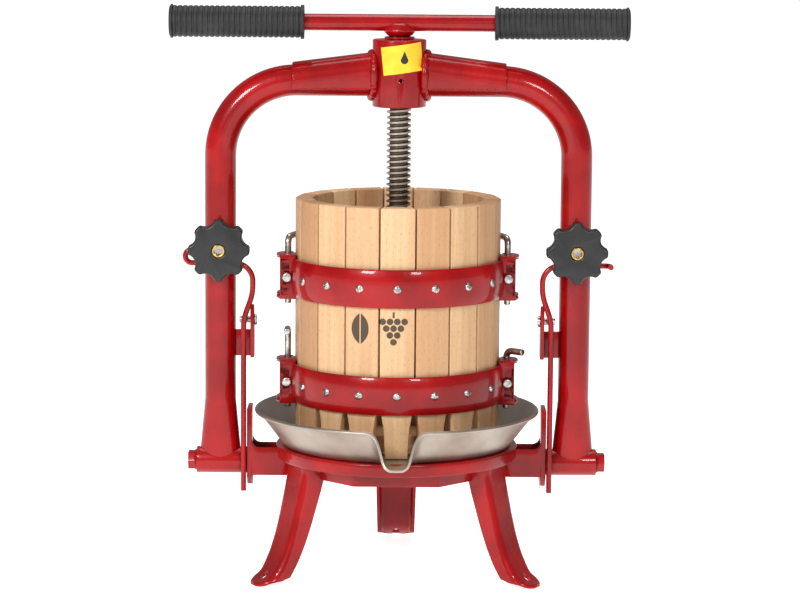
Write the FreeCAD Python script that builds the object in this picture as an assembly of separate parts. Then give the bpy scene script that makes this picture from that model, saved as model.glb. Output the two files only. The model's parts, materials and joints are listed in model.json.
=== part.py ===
"""Tabletop basket wine press, built as separate pieces.

Millimetres. +Z is up and the floor is z = 0. The origin is on the screw's axis at floor level,
the spout points to -Y (the front) and the handle lies along X.
"""
import math
import os

import FreeCAD
import Part

V = FreeCAD.Vector
X_AXIS = V(1, 0, 0)
Y_AXIS = V(0, 1, 0)
Z_AXIS = V(0, 0, 1)
FAR = 400.0

# Clearances between pieces that move against each other, and between loose pieces that rest.
RUNNING_FIT = 0.05
LOOSE_GAP = 0.3
THREAD_GAP = 0.4

# Stand: plate, octagonal ring, three legs.
PLATE_TOP_Z = 117.0
PLATE_SHEET = 3.0
PLATE_RIM_HEIGHT = 8.0
RING_WALL = 4.0
RING_HEIGHT = 20.0
LEG_ANGLES = {"leg_rear": 90.0, "leg_front_left": 210.0, "leg_front_right": 330.0}
LEG_SHEET = 3.0
LEG_TOP_WIDTH = 40.0
LEG_FOOT_WIDTH = 34.0
LEG_TOP_DEPTH = 20.0
LEG_FOOT_DEPTH = 13.0
TOE_HOLE_RADIUS_POS = 135.0
TOE_HOLE_R = 3.5
TOE_START_RADIUS = 118.0
TOE_SHEET = 3.5

# Crossbars, ears and the pivot the arch tilts about.
BAR_DEPTH = 30.0
BAR_SHEET = 2.5
BAR_CURL_R = 7.0
EAR_SHEET = 4.5
EAR_CHAMFER = 8.0
SLEEVE_R = 12.0
PIVOT_R = 5.0
PIVOT_HEX_AF = 16.0
PIVOT_HEAD_T = 6.4
PIVOT_NUT_T = 8.0
WASHER_T = 1.0

# Arch: two bent tubes meeting at the hub.
TUBE_R = 14.0
TUBE_WALL = 2.0
BEND_R = 68.0
RUN_Z = 445.0
FLARE_HEIGHT = 48.0
FLARE_HALF_X = 19.0
FLARE_HALF_Y = 11.0
FLARE_BELOW_TOP_OF_SLEEVE = 10.0
HUB_R = 24.0
HUB_LIP_T = 4.0
OIL_HOLE_R = 1.5
OIL_HOLE_X = 1.4
GUSSET_SHEET = 2.0
GUSSET_FOLD_BELOW_RUN = 7.0
GUSSET_RISE_AT_HUB = 27.0
LABEL_LEFT = -15.5
LABEL_HEIGHT = 25.0
LABEL_T = 0.3
LABEL_TILT = -8.0
GUSSET_START_X = 21.0

# Screw, foot and handle.
SCREW_MAJOR_R = 11.0
SCREW_MINOR_R = 8.25
SCREW_PITCH = 5.0
THREAD_ROOT_W = 3.2
THREAD_CREST_W = 1.6
THREAD_SWEEPS = 27
TURNS_PER_SWEEP = 2
FOOT_BOTTOM_Z = 169.0
FOOT_DISC_R = 30.0
FOOT_DISC_T = 10.0
FOOT_BOSS_R = 17.0
FOOT_BOSS_T = 20.0
COLLAR_T = 2.0
HANDLE_R = 7.5
HANDLE_HALF = 200.0
GRIP_LENGTH = 120.0
GRIP_OVER_END = 5.0
GRIP_R = 14.1
GRIP_FLANGE_R = 15.2
GRIP_FLANGE_W = 3.0
GRIP_RIBS = 24
GRIP_GROOVE = 0.7

# Clamp knobs and their studs, stay rods and latch plates on the uprights.
KNOB_Z = 295.0
KNOB_R = 27.5
KNOB_LOBES = 8
KNOB_SCALLOP_R = 9.0
KNOB_SCALLOP_AT = 32.0
KNOB_T = 16.5
KNOB_RECESS_R = 13.0
KNOB_RECESS = 2.0
STUD_R = 4.0
STUD_RECESS = 6.0
ROD_R = 2.5
ROD_GAP_TO_TUBE = 0.5
ROD_STRAIGHT_TOP_Z = 226.0
ROD_TOP_Z = 282.0
ROD_CURL_R = 6.0
ROD_TIP_R = 12.0
ROD_TIP_TURN = 25.0
TAB_T = 3.0
LATCH_T = 3.5
LATCH_FRONT_Y = -14.0
LATCH_BACK_Y = 10.0
LATCH_BOLT_Y = -8.0
LATCH_BOLT_R = 3.0

# Basket: two half rings of staves.
STAVES_PER_HALF = 9
STAVE_APOTHEM = 91.0
STAVE_T = 15.0
STAVE_GAP = 1.2
HOOP_GAP = 0.4
BASKET_HEIGHT = 221.4
STAVE_NECK_Z = 157.0
STAVE_NECK_DROP = 22.0
STAVE_FOOT_RATIO = 0.78
HOOP_SHEET = 2.0
HOOP_CROWN = 2.3
HOOP_HALF_HEIGHT = 16.8
UPPER_HOOP_Z = 270.0
LOWER_HOOP_Z = 175.3
STAVE_SCREW_HEAD_R = 3.5
STAVE_SCREW_HEAD_T = 1.9
STAVE_SCREW_SHANK_R = 1.8
END_SCREW_SHIFT = 6.5

# Hinge brackets and pins that join the two halves.
PIN_R = 3.0
BRACKET_SHEET = 2.0
BRACKET_WEB_Y = 16.3
BRACKET_HALF_HEIGHT = 20.0
BRACKET_NEST = 0.2
EAR_ROUND_R = 10.2
FLANGE_HALF_HEIGHT = 15.0
BOLT_R = 2.5
BOLT_HEAD_R = 4.2
BOLT_HEAD_T = 2.6
BOLT_NUT_AF = 8.0
BOLT_NUT_T = 4.0
PIN_BELOW_EAR = 6.0
PIN_BEND_R = 6.0

# Tray, press boards and block.
TRAY_SHEET = 1.2
TRAY_DEPTH = 32.0
TRAY_BEAD_R = 1.5
SPOUT_LIP_BACK = 19.0
SPOUT_HALF_FLOOR = 6.0
SPOUT_HALF_LOW = 9.6
SPOUT_HALF_MID = 14.2
SPOUT_HALF_HIGH = 18.0
SPOUT_HALF_RIM = 21.5
BOARD_SIDE_GAP = 4.0
BOARD_T = 18.0
BOARD_SPLIT = 1.0
BLOCK_T = 19.5
BLOCK_LENGTH = 110.0
BLOCK_WIDTH = 46.0

# Heights that follow from the stack: plate, tray, staves, pivot, arch and handle.
PLATE_BOTTOM_Z = PLATE_TOP_Z - PLATE_SHEET
TRAY_UNDER_Z = PLATE_TOP_Z + LOOSE_GAP
TRAY_FLOOR_Z = TRAY_UNDER_Z + TRAY_SHEET
STAVE_BOTTOM_Z = TRAY_FLOOR_Z + LOOSE_GAP
STAVE_TOP_Z = STAVE_BOTTOM_Z + BASKET_HEIGHT
PIVOT_Z = PLATE_TOP_Z - 17.0
BAR_BOTTOM_Z = PIVOT_Z - 11.5
EAR_BOTTOM_Z = PIVOT_Z - 21.0
EAR_TOP_Z = PIVOT_Z + 50.0
HUB_BOTTOM_Z = RUN_Z - 23.0
HUB_TOP_Z = RUN_Z + 37.0
LABEL_Z = RUN_Z + 20.5
COLLAR_Z = HUB_TOP_Z + LOOSE_GAP
HANDLE_Z = COLLAR_Z + COLLAR_T + HANDLE_R + 4.9
FOOT_BOSS_TOP_Z = FOOT_BOTTOM_Z + FOOT_DISC_T + FOOT_BOSS_T
THREAD_START_Z = FOOT_BOSS_TOP_Z + 7.0
ROD_BOTTOM_Z = PIVOT_Z - 25.0
LATCH_BOLT_Z = ROD_STRAIGHT_TOP_Z + 4.0
TAB_TOP_Z = ROD_STRAIGHT_TOP_Z - 6.0
TAB_BOTTOM_Z = TAB_TOP_Z - 24.0
LATCH_TOP_Z = TAB_TOP_Z + 25.0

# Radii and distances from the axis that follow from the basket's radius.
STAVE_STEP = 180.0 / STAVES_PER_HALF
HOOP_INNER_R = STAVE_APOTHEM / math.cos(math.radians(STAVE_STEP / 2)) + HOOP_GAP
HOOP_OUTER_R = HOOP_INNER_R + HOOP_SHEET
HOOP_CROWN_R = HOOP_OUTER_R + HOOP_CROWN
STAVE_SCREW_TIP_AT = STAVE_APOTHEM - 11.0
PIN_AT_X = HOOP_INNER_R + PIN_R + 3.0
BRACKET_IN_X = STAVE_APOTHEM - 0.2
BRACKET_OUT_X = STAVE_APOTHEM + 14.5
EAR_CLEAR_X = HOOP_INNER_R + 0.8
BOLT_AT_X = STAVE_APOTHEM + 8.0
RING_APOTHEM = STAVE_APOTHEM
PLATE_RADIUS = RING_APOTHEM + 18.0
LEG_TOP_RADIUS = RING_APOTHEM + 2.0
TRAY_BOTTOM_R = STAVE_APOTHEM + 13.0
TRAY_RIM_R = TRAY_BOTTOM_R + 23.0
SPOUT_REACH = TRAY_RIM_R + 18.0
EAR_INNER_X = TRAY_RIM_R + 3.5
EAR_OUTER_X = EAR_INNER_X + EAR_SHEET
LATCH_OUT_X = EAR_INNER_X + 1.5
ROD_X = EAR_OUTER_X + ROD_R + 0.5
ROD_BULGE_X = ROD_X - 8.2
UPRIGHT_X = ROD_X + TUBE_R + 7.5
GUSSET_END_X = UPRIGHT_X - BEND_R + 4.0
SLEEVE_START_X = EAR_OUTER_X + LOOSE_GAP
SLEEVE_END_X = UPRIGHT_X + 21.5
ROD_OUT_X = UPRIGHT_X + 24.5
LATCH_BOLT_END_X = ROD_X + 4.0
GRIP_END_X = HANDLE_HALF + GRIP_OVER_END
GRIP_START_X = GRIP_END_X - GRIP_LENGTH

# Fits that follow from the screw, the stud and the tube.
SCREW_BORE_R = SCREW_MAJOR_R + THREAD_GAP
NUT_R = SCREW_BORE_R + 5.6
LABEL_RIGHT = math.sqrt(HUB_R * HUB_R - TUBE_R * TUBE_R) - 0.4
JOURNAL_R = SCREW_MINOR_R - 0.25
NECK_R = SCREW_MINOR_R + 0.75
COLLAR_R = SCREW_MAJOR_R + 2.5
WELD_R = COLLAR_R
INSERT_R = STUD_R + 1.5
ROD_Y = -(TUBE_R + ROD_GAP_TO_TUBE + ROD_R)
KNOB_BACK_Y = ROD_Y - ROD_R - ROD_GAP_TO_TUBE
KNOB_FRONT_Y = KNOB_BACK_Y - KNOB_T


def mirrored_x(shape):
    return shape.mirror(V(0, 0, 0), X_AXIS)


def mirrored_y(shape):
    return shape.mirror(V(0, 0, 0), Y_AXIS)


def turned(shape, degrees):
    copy = shape.copy()
    copy.rotate(V(0, 0, 0), Z_AXIS, degrees)
    return copy


def cylinder_x(radius, x_from, x_to, y, z):
    return Part.makeCylinder(radius, x_to - x_from, V(x_from, y, z), X_AXIS)


def cylinder_y(radius, y_from, y_to, x, z):
    return Part.makeCylinder(radius, y_to - y_from, V(x, y_from, z), Y_AXIS)


def cylinder_z(radius, z_from, z_to, x=0.0, y=0.0):
    return Part.makeCylinder(radius, z_to - z_from, V(x, y, z_from), Z_AXIS)


def box(x_range, y_range, z_range):
    size = [b - a for a, b in (x_range, y_range, z_range)]
    return Part.makeBox(size[0], size[1], size[2], V(x_range[0], y_range[0], z_range[0]))


def face(points):
    return Part.Face(Part.makePolygon(points + [points[0]]))


def revolved(points_rz):
    section = face([V(r, 0, z) for r, z in points_rz])
    return section.revolve(V(0, 0, 0), Z_AXIS, 360)


def swept_rod(edges, radius):
    wire = Part.Wire(edges)
    start = edges[0].valueAt(edges[0].FirstParameter)
    tangent = edges[0].tangentAt(edges[0].FirstParameter)
    disc = Part.Wire(Part.makeCircle(radius, start, tangent))
    return wire.makePipeShell([disc], True, True)


def line(a, b):
    return Part.makeLine(a, b)


def arc(a, middle, b):
    return Part.Arc(a, middle, b).toShape()


def hexagon(across_flats, x_from, x_to, y, z):
    corner = across_flats / 2.0 / math.cos(math.pi / 6.0)
    points = []
    for k in range(6):
        a = math.radians(60.0 * k)
        points.append(V(x_from, y + corner * math.cos(a), z + corner * math.sin(a)))
    return face(points).extrude(V(x_to - x_from, 0, 0))


# Base -------------------------------------------------------------------------------------

def crossbar_envelope():
    half = BAR_DEPTH / 2.0
    return box((RING_APOTHEM, EAR_OUTER_X), (-half, half), (BAR_BOTTOM_Z, PLATE_BOTTOM_Z))


def base_plate():
    disc = cylinder_z(PLATE_RADIUS, PLATE_BOTTOM_Z - PLATE_RIM_HEIGHT, PLATE_TOP_Z)
    hollow = cylinder_z(PLATE_RADIUS - PLATE_SHEET, PLATE_BOTTOM_Z - PLATE_RIM_HEIGHT, PLATE_BOTTOM_Z)
    plate = disc.cut(hollow)
    envelope = crossbar_envelope()
    return plate.cut(envelope).cut(mirrored_x(envelope))


def octagon(apothem, z):
    corner = apothem / math.cos(math.pi / 8.0)
    points = []
    for k in range(8):
        a = math.radians(22.5 + 45.0 * k)
        points.append(V(corner * math.cos(a), corner * math.sin(a), z))
    return face(points).extrude(V(0, 0, RING_HEIGHT))


def base_ring():
    z = PLATE_BOTTOM_Z - RING_HEIGHT
    return octagon(RING_APOTHEM, z).cut(octagon(RING_APOTHEM - RING_WALL, z))


def leg_centreline():
    """Radius and height of the leg's middle, from the plate down to the toe."""
    drop = PLATE_BOTTOM_Z
    shape = [(0.0, 1.0), (0.6, 0.9), (3.0, 0.8), (7.5, 0.66), (11.5, 0.51), (16.5, 0.36),
             (23.5, 0.21), (31.0, 0.09), (36.0, 0.015)]
    return [(LEG_TOP_RADIUS + out, drop * share) for out, share in shape]


def leg_section(r, z, tangent_r, tangent_z, width, depth):
    """Closed U outline, open towards the press's axis, square to the leg's direction."""
    out_r = -tangent_z
    out_z = tangent_r
    half = width / 2.0
    inner = half - LEG_SHEET
    outline = [(-half, -depth / 2), (-half, depth / 2), (half, depth / 2), (half, -depth / 2),
               (inner, -depth / 2), (inner, depth / 2 - LEG_SHEET),
               (-inner, depth / 2 - LEG_SHEET), (-inner, -depth / 2)]
    points = [V(r + out_r * v, u, z + out_z * v) for u, v in outline]
    return Part.makePolygon(points + [points[0]])


def leg(angle):
    path = leg_centreline()
    wires = []
    last = len(path) - 1
    for k, (r, z) in enumerate(path):
        before = path[max(k - 1, 0)]
        after = path[min(k + 1, last)]
        dr = after[0] - before[0]
        dz = after[1] - before[1]
        length = math.hypot(dr, dz)
        share = k / float(last)
        width = LEG_TOP_WIDTH + (LEG_FOOT_WIDTH - LEG_TOP_WIDTH) * share
        depth = LEG_TOP_DEPTH + (LEG_FOOT_DEPTH - LEG_TOP_DEPTH) * share
        wires.append(leg_section(r, z, dr / length, dz / length, width, depth))
    channel = Part.makeLoft(wires, True, True)
    half = LEG_FOOT_WIDTH / 2.0
    toe_centre = TOE_HOLE_RADIUS_POS - 5.0
    toe = box((TOE_START_RADIUS, toe_centre), (-half, half), (0.0, TOE_SHEET))
    toe = toe.fuse(cylinder_z(half, 0.0, TOE_SHEET, toe_centre, 0.0))
    whole = channel.fuse(toe)
    whole = whole.cut(box((0.0, FAR), (-FAR, FAR), (-FAR, 0.0)))
    whole = whole.cut(box((0.0, FAR), (-FAR, FAR), (PLATE_BOTTOM_Z, FAR)))
    whole = whole.cut(cylinder_z(TOE_HOLE_R, -1.0, TOE_SHEET + 1.0, TOE_HOLE_RADIUS_POS, 0.0))
    return turned(whole, angle).cut(base_ring())


def crossbar():
    """Open-topped channel from the ring to the ear; its wall ends curl up against the ear."""
    half = BAR_DEPTH / 2.0
    top = PLATE_BOTTOM_Z
    curl_x = EAR_INNER_X - BAR_CURL_R
    a = V(RING_APOTHEM, -half, BAR_BOTTOM_Z)
    b = V(EAR_INNER_X, -half, BAR_BOTTOM_Z)
    c = V(EAR_INNER_X, -half, top + BAR_CURL_R)
    d = V(curl_x, -half, top)
    e = V(RING_APOTHEM, -half, top)
    cut_45 = BAR_CURL_R * math.sqrt(0.5)
    mid = V(curl_x + cut_45, -half, top + BAR_CURL_R - cut_45)
    side = Part.Face(Part.Wire([line(a, b), line(b, c), arc(c, mid, d), line(d, e), line(e, a)]))
    body = side.extrude(V(0, BAR_DEPTH, 0))
    hollow = box((RING_APOTHEM - 1.0, EAR_INNER_X), (-half + BAR_SHEET, half - BAR_SHEET),
                 (BAR_BOTTOM_Z + BAR_SHEET, FAR))
    return body.cut(hollow)


def ear_plate():
    half = BAR_DEPTH / 2.0
    corners = [V(EAR_INNER_X, -half + EAR_CHAMFER, EAR_BOTTOM_Z), V(EAR_INNER_X, half, EAR_BOTTOM_Z),
               V(EAR_INNER_X, half, EAR_TOP_Z), V(EAR_INNER_X, -half, EAR_TOP_Z),
               V(EAR_INNER_X, -half, EAR_BOTTOM_Z + EAR_CHAMFER)]
    plate = face(corners).extrude(V(EAR_SHEET, 0, 0))
    return plate.cut(cylinder_x(PIVOT_R, EAR_INNER_X - 1, EAR_OUTER_X + 1, 0, PIVOT_Z))


def pivot_bolt():
    head_x = SLEEVE_END_X + LOOSE_GAP
    nut_inner_x = EAR_INNER_X - PIVOT_NUT_T
    washer = cylinder_x(PIVOT_HEX_AF / 2 + 1.5, head_x, head_x + WASHER_T, 0, PIVOT_Z)
    head = hexagon(PIVOT_HEX_AF, head_x + WASHER_T, head_x + WASHER_T + PIVOT_HEAD_T, 0, PIVOT_Z)
    shank = cylinder_x(PIVOT_R, nut_inner_x - 1.0, head_x, 0, PIVOT_Z)
    return shank.fuse(washer).fuse(head)


def pivot_nut():
    nut = hexagon(PIVOT_HEX_AF, EAR_INNER_X - PIVOT_NUT_T, EAR_INNER_X, 0, PIVOT_Z)
    return nut.cut(cylinder_x(PIVOT_R, 0, FAR, 0, PIVOT_Z))


# Arch -------------------------------------------------------------------------------------

def tube_run(radius):
    """Round bar along the upright, the bend and the top run; radius sets its thickness."""
    flare_top = PIVOT_Z + SLEEVE_R + FLARE_HEIGHT - 3.0
    bend_x = UPRIGHT_X - BEND_R
    bend_z = RUN_Z - BEND_R
    corner = BEND_R * math.sqrt(0.5)
    foot = V(UPRIGHT_X, 0, flare_top)
    bend_start = V(UPRIGHT_X, 0, bend_z)
    bend_mid = V(bend_x + corner, 0, bend_z + corner)
    bend_end = V(bend_x, 0, RUN_Z)
    hub = V(HUB_R / 2.0, 0, RUN_Z)
    return swept_rod([line(foot, bend_start), arc(bend_start, bend_mid, bend_end),
                      line(bend_end, hub)], radius)


def flare(radius, half_x, half_y):
    top_z = PIVOT_Z + SLEEVE_R + FLARE_HEIGHT - 3.0
    bottom_z = PIVOT_Z + SLEEVE_R - FLARE_BELOW_TOP_OF_SLEEVE
    top = Part.makeCircle(radius, V(UPRIGHT_X, 0, top_z), Z_AXIS)
    bottom = Part.Ellipse(V(0, 0, 0), half_x, half_y).toShape()
    bottom.translate(V(UPRIGHT_X, 0, bottom_z))
    return Part.makeLoft([Part.Wire(bottom), Part.Wire(top)], True, True)


def arch_tube():
    outer = tube_run(TUBE_R).fuse(flare(TUBE_R, FLARE_HALF_X, FLARE_HALF_Y))
    bore = TUBE_R - TUBE_WALL
    inner = tube_run(bore).fuse(flare(bore, FLARE_HALF_X - TUBE_WALL, FLARE_HALF_Y - TUBE_WALL))
    tube = outer.cut(inner)
    tube = tube.cut(cylinder_z(HUB_R, HUB_BOTTOM_Z, HUB_TOP_Z))
    return tube.cut(cylinder_x(SLEEVE_R, 0, FAR, 0, PIVOT_Z))


def pivot_sleeve():
    sleeve = cylinder_x(SLEEVE_R, SLEEVE_START_X, SLEEVE_END_X, 0, PIVOT_Z)
    return sleeve.cut(cylinder_x(PIVOT_R + RUNNING_FIT, 0, FAR, 0, PIVOT_Z))


def saddle_wire(x, half_width, crown_z, bottom_z):
    """Inverted U across the tube at x: straight sides and a half-round crown."""
    centre_z = crown_z - half_width
    a = V(x, -half_width, bottom_z)
    b = V(x, -half_width, centre_z)
    top = V(x, 0, crown_z)
    c = V(x, half_width, centre_z)
    d = V(x, half_width, bottom_z)
    return Part.Wire([line(a, b), arc(b, top, c), line(c, d), line(d, a)])


def gusset():
    fold_z = RUN_Z - GUSSET_FOLD_BELOW_RUN
    inner_half = TUBE_R + 0.2
    outer_half = inner_half + GUSSET_SHEET
    hub_x = HUB_R / 2.0
    slope = GUSSET_RISE_AT_HUB - outer_half
    hub_crown = RUN_Z + outer_half + slope
    end_crown = RUN_Z + outer_half
    outer = Part.makeLoft([saddle_wire(hub_x, outer_half, hub_crown, fold_z),
                           saddle_wire(GUSSET_END_X, outer_half, end_crown, fold_z)], True, True)
    inner = Part.makeLoft([saddle_wire(hub_x - 1, inner_half, hub_crown - GUSSET_SHEET, fold_z - 5),
                           saddle_wire(GUSSET_END_X + 1, inner_half, end_crown - GUSSET_SHEET,
                                       fold_z - 5)], True, True)
    shell = outer.cut(inner)
    shell = shell.cut(box((0.0, GUSSET_START_X), (-FAR, FAR), (0.0, 2 * FAR)))
    return shell.cut(cylinder_z(HUB_R, HUB_BOTTOM_Z, HUB_TOP_Z))


def screw_hub():
    hub = cylinder_z(HUB_R, HUB_BOTTOM_Z, HUB_TOP_Z)
    hub = hub.cut(cylinder_z(NUT_R, HUB_BOTTOM_Z, HUB_TOP_Z - HUB_LIP_T))
    hub = hub.cut(cylinder_z(SCREW_BORE_R + 0.5, HUB_BOTTOM_Z, HUB_TOP_Z))
    return hub.cut(cylinder_y(OIL_HOLE_R, -HUB_R - 1, -NUT_R, OIL_HOLE_X, RUN_Z + 1.5))


def screw_nut():
    nut = cylinder_z(NUT_R, HUB_BOTTOM_Z + 2.0, HUB_TOP_Z - HUB_LIP_T)
    return nut.cut(cylinder_z(SCREW_BORE_R, HUB_BOTTOM_Z, HUB_TOP_Z))


def oil_label():
    band = cylinder_z(HUB_R + LABEL_T, HUB_BOTTOM_Z, HUB_TOP_Z - 0.5)
    band = band.cut(cylinder_z(HUB_R, HUB_BOTTOM_Z, HUB_TOP_Z))
    half = LABEL_HEIGHT / 2.0
    window = box((LABEL_LEFT, LABEL_RIGHT), (-FAR, 0), (LABEL_Z - half, LABEL_Z + half))
    window.rotate(V(0, 0, LABEL_Z), Y_AXIS, LABEL_TILT)
    return band.common(window)


def knob_stud():
    stud = cylinder_y(STUD_R, KNOB_FRONT_Y + STUD_RECESS, 0, UPRIGHT_X, KNOB_Z)
    return stud.cut(cylinder_z(TUBE_R, 0, FAR, UPRIGHT_X, 0))


def upright_tab():
    tab = box((LATCH_OUT_X, UPRIGHT_X), (-TAB_T, 0), (TAB_BOTTOM_Z, TAB_TOP_Z))
    return tab.cut(cylinder_z(TUBE_R, 0, FAR, UPRIGHT_X, 0))


def latch_plate():
    inner_x = LATCH_OUT_X - LATCH_T
    corners = [V(inner_x, LATCH_FRONT_Y, TAB_BOTTOM_Z), V(inner_x, LATCH_BACK_Y, TAB_BOTTOM_Z),
               V(inner_x, LATCH_BACK_Y, TAB_TOP_Z + 8), V(inner_x, LATCH_FRONT_Y, LATCH_TOP_Z)]
    plate = face(corners).extrude(V(LATCH_T, 0, 0))
    return plate.cut(cylinder_x(LATCH_BOLT_R, 0, FAR, LATCH_BOLT_Y, LATCH_BOLT_Z))


def latch_bolt():
    inner_x = LATCH_OUT_X - LATCH_T
    shank = cylinder_x(LATCH_BOLT_R, inner_x, LATCH_BOLT_END_X, LATCH_BOLT_Y, LATCH_BOLT_Z)
    head = cylinder_x(LATCH_BOLT_R + 2, inner_x - 2.5, inner_x, LATCH_BOLT_Y, LATCH_BOLT_Z)
    return shank.fuse(head)


def stay_rod(side):
    """Wire stay: up beside the ear, in and over, then outward behind the knob."""
    start = V(ROD_X, ROD_Y, ROD_BOTTOM_Z)
    rise = V(ROD_X, ROD_Y, ROD_STRAIGHT_TOP_Z)
    over = V(ROD_X + 5, ROD_Y, ROD_TOP_Z)
    out = V(ROD_OUT_X, ROD_Y, ROD_TOP_Z)
    sway = Part.BSplineCurve()
    points = [rise, V(ROD_BULGE_X + 2.6, ROD_Y, ROD_TOP_Z - 34), V(ROD_BULGE_X, ROD_Y, ROD_TOP_Z - 15),
              V(ROD_BULGE_X + 3.7, ROD_Y, ROD_TOP_Z - 4.5), over]
    sway.interpolate(Points=points, InitialTangent=V(0, 0, 1), FinalTangent=V(1, 0, 0))
    k = ROD_CURL_R * math.sqrt(0.5)
    if side < 0:
        turn = math.radians(ROD_TIP_TURN)
        curl_mid = out + V(math.sin(turn / 2), 0, 1 - math.cos(turn / 2)) * ROD_TIP_R
        curl_end = out + V(math.sin(turn), 0, 1 - math.cos(turn)) * ROD_TIP_R
        tip = curl_end + V(math.cos(turn), 0, math.sin(turn)) * 2
    else:
        curl_mid = V(ROD_OUT_X + k, ROD_Y - ROD_CURL_R + k, ROD_TOP_Z)
        curl_end = V(ROD_OUT_X + ROD_CURL_R, ROD_Y - ROD_CURL_R, ROD_TOP_Z)
        tip = curl_end - V(0, 5, 0)
    rod = swept_rod([line(start, rise), sway.toShape(), line(over, out),
                     arc(out, curl_mid, curl_end), line(curl_end, tip)], ROD_R)
    return rod if side > 0 else mirrored_x(rod)


# Screw and handle -------------------------------------------------------------------------

def press_foot():
    disc_top = FOOT_BOTTOM_Z + FOOT_DISC_T
    foot = cylinder_z(FOOT_DISC_R, FOOT_BOTTOM_Z, disc_top)
    foot = foot.fuse(cylinder_z(FOOT_BOSS_R, disc_top, FOOT_BOSS_TOP_Z))
    return foot.cut(cylinder_z(JOURNAL_R + RUNNING_FIT, disc_top, FOOT_BOSS_TOP_Z))


def thread_sweep(start_z):
    """A short stretch of the thread's ridge, its root sunk into the core."""
    root = SCREW_MINOR_R - 0.5
    helix = Part.makeHelix(SCREW_PITCH, SCREW_PITCH * TURNS_PER_SWEEP, SCREW_MINOR_R)
    outline = [V(root, 0, -THREAD_ROOT_W / 2 - 0.15), V(SCREW_MAJOR_R, 0, -THREAD_CREST_W / 2),
               V(SCREW_MAJOR_R, 0, THREAD_CREST_W / 2), V(root, 0, THREAD_ROOT_W / 2 + 0.15)]
    ridge = Part.Wire(helix).makePipeShell([Part.makePolygon(outline + [outline[0]])], True, True)
    ridge.rotate(V(0, 0, 0), Z_AXIS, 90)
    ridge.translate(V(0, 0, start_z))
    return ridge


def spindle():
    journal_z = FOOT_BOTTOM_Z + FOOT_DISC_T + LOOSE_GAP
    core_z = FOOT_BOSS_TOP_Z + LOOSE_GAP
    neck_z = COLLAR_Z + COLLAR_T
    screw = cylinder_z(SCREW_MINOR_R, core_z, HANDLE_Z)
    for k in range(THREAD_SWEEPS):
        screw = screw.fuse(thread_sweep(THREAD_START_Z + SCREW_PITCH * TURNS_PER_SWEEP * k))
    screw = screw.fuse(cylinder_z(JOURNAL_R, journal_z, core_z))
    neck = cylinder_z(NECK_R, neck_z, HANDLE_Z)
    weld_height = HANDLE_Z - HANDLE_R - neck_z
    weld = Part.makeCone(NECK_R, WELD_R, weld_height, V(0, 0, neck_z), Z_AXIS)
    saddle = Part.makeCone(WELD_R, NECK_R, HANDLE_R, V(0, 0, neck_z + weld_height), Z_AXIS)
    screw = screw.fuse(neck).fuse(weld).fuse(saddle)
    return screw.cut(cylinder_x(HANDLE_R, -FAR, FAR, 0, HANDLE_Z))


def collar_washer():
    washer = cylinder_z(COLLAR_R, COLLAR_Z, COLLAR_Z + COLLAR_T)
    return washer.cut(cylinder_z(SCREW_MINOR_R, COLLAR_Z - 1, COLLAR_Z + COLLAR_T + 1))


def handle_bar():
    return cylinder_x(HANDLE_R, -HANDLE_HALF, HANDLE_HALF, 0, HANDLE_Z)


def grip():
    """Rubber grip with a flange at each end and fine rings around its body."""
    x = GRIP_START_X
    points = [(x, 0.0), (x, GRIP_FLANGE_R), (x + GRIP_FLANGE_W, GRIP_FLANGE_R)]
    body_start = x + GRIP_FLANGE_W
    body_end = GRIP_END_X - GRIP_FLANGE_W
    pitch = (body_end - body_start) / GRIP_RIBS
    for k in range(GRIP_RIBS):
        a = body_start + pitch * k
        points += [(a, GRIP_R - GRIP_GROOVE), (a + pitch * 0.25, GRIP_R - GRIP_GROOVE),
                   (a + pitch * 0.35, GRIP_R), (a + pitch * 0.9, GRIP_R)]
    points += [(body_end, GRIP_R - GRIP_GROOVE), (body_end, GRIP_FLANGE_R),
               (GRIP_END_X - 1.5, GRIP_FLANGE_R), (GRIP_END_X, GRIP_FLANGE_R - 2.5), (GRIP_END_X, 0.0)]
    section = face([V(px, 0, HANDLE_Z + pr) for px, pr in points])
    body = section.revolve(V(0, 0, HANDLE_Z), X_AXIS, 360)
    return body.cut(cylinder_x(HANDLE_R, 0, HANDLE_HALF, 0, HANDLE_Z))


def knob():
    body = cylinder_y(KNOB_R, KNOB_FRONT_Y, KNOB_BACK_Y, UPRIGHT_X, KNOB_Z)
    for k in range(KNOB_LOBES):
        a = math.radians(360.0 / KNOB_LOBES * (k + 0.5))
        body = body.cut(cylinder_y(KNOB_SCALLOP_R, KNOB_FRONT_Y - 1, KNOB_BACK_Y + 1,
                                   UPRIGHT_X + KNOB_SCALLOP_AT * math.cos(a),
                                   KNOB_Z + KNOB_SCALLOP_AT * math.sin(a)))
    body = body.cut(cylinder_y(KNOB_RECESS_R, KNOB_FRONT_Y, KNOB_FRONT_Y + KNOB_RECESS,
                               UPRIGHT_X, KNOB_Z))
    return body.cut(cylinder_y(INSERT_R, -FAR, 0, UPRIGHT_X, KNOB_Z))


def knob_insert():
    insert = cylinder_y(INSERT_R, KNOB_FRONT_Y + 0.5, KNOB_BACK_Y, UPRIGHT_X, KNOB_Z)
    return insert.cut(cylinder_y(STUD_R + RUNNING_FIT, -FAR, 0, UPRIGHT_X, KNOB_Z))


# Basket -----------------------------------------------------------------------------------

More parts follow.
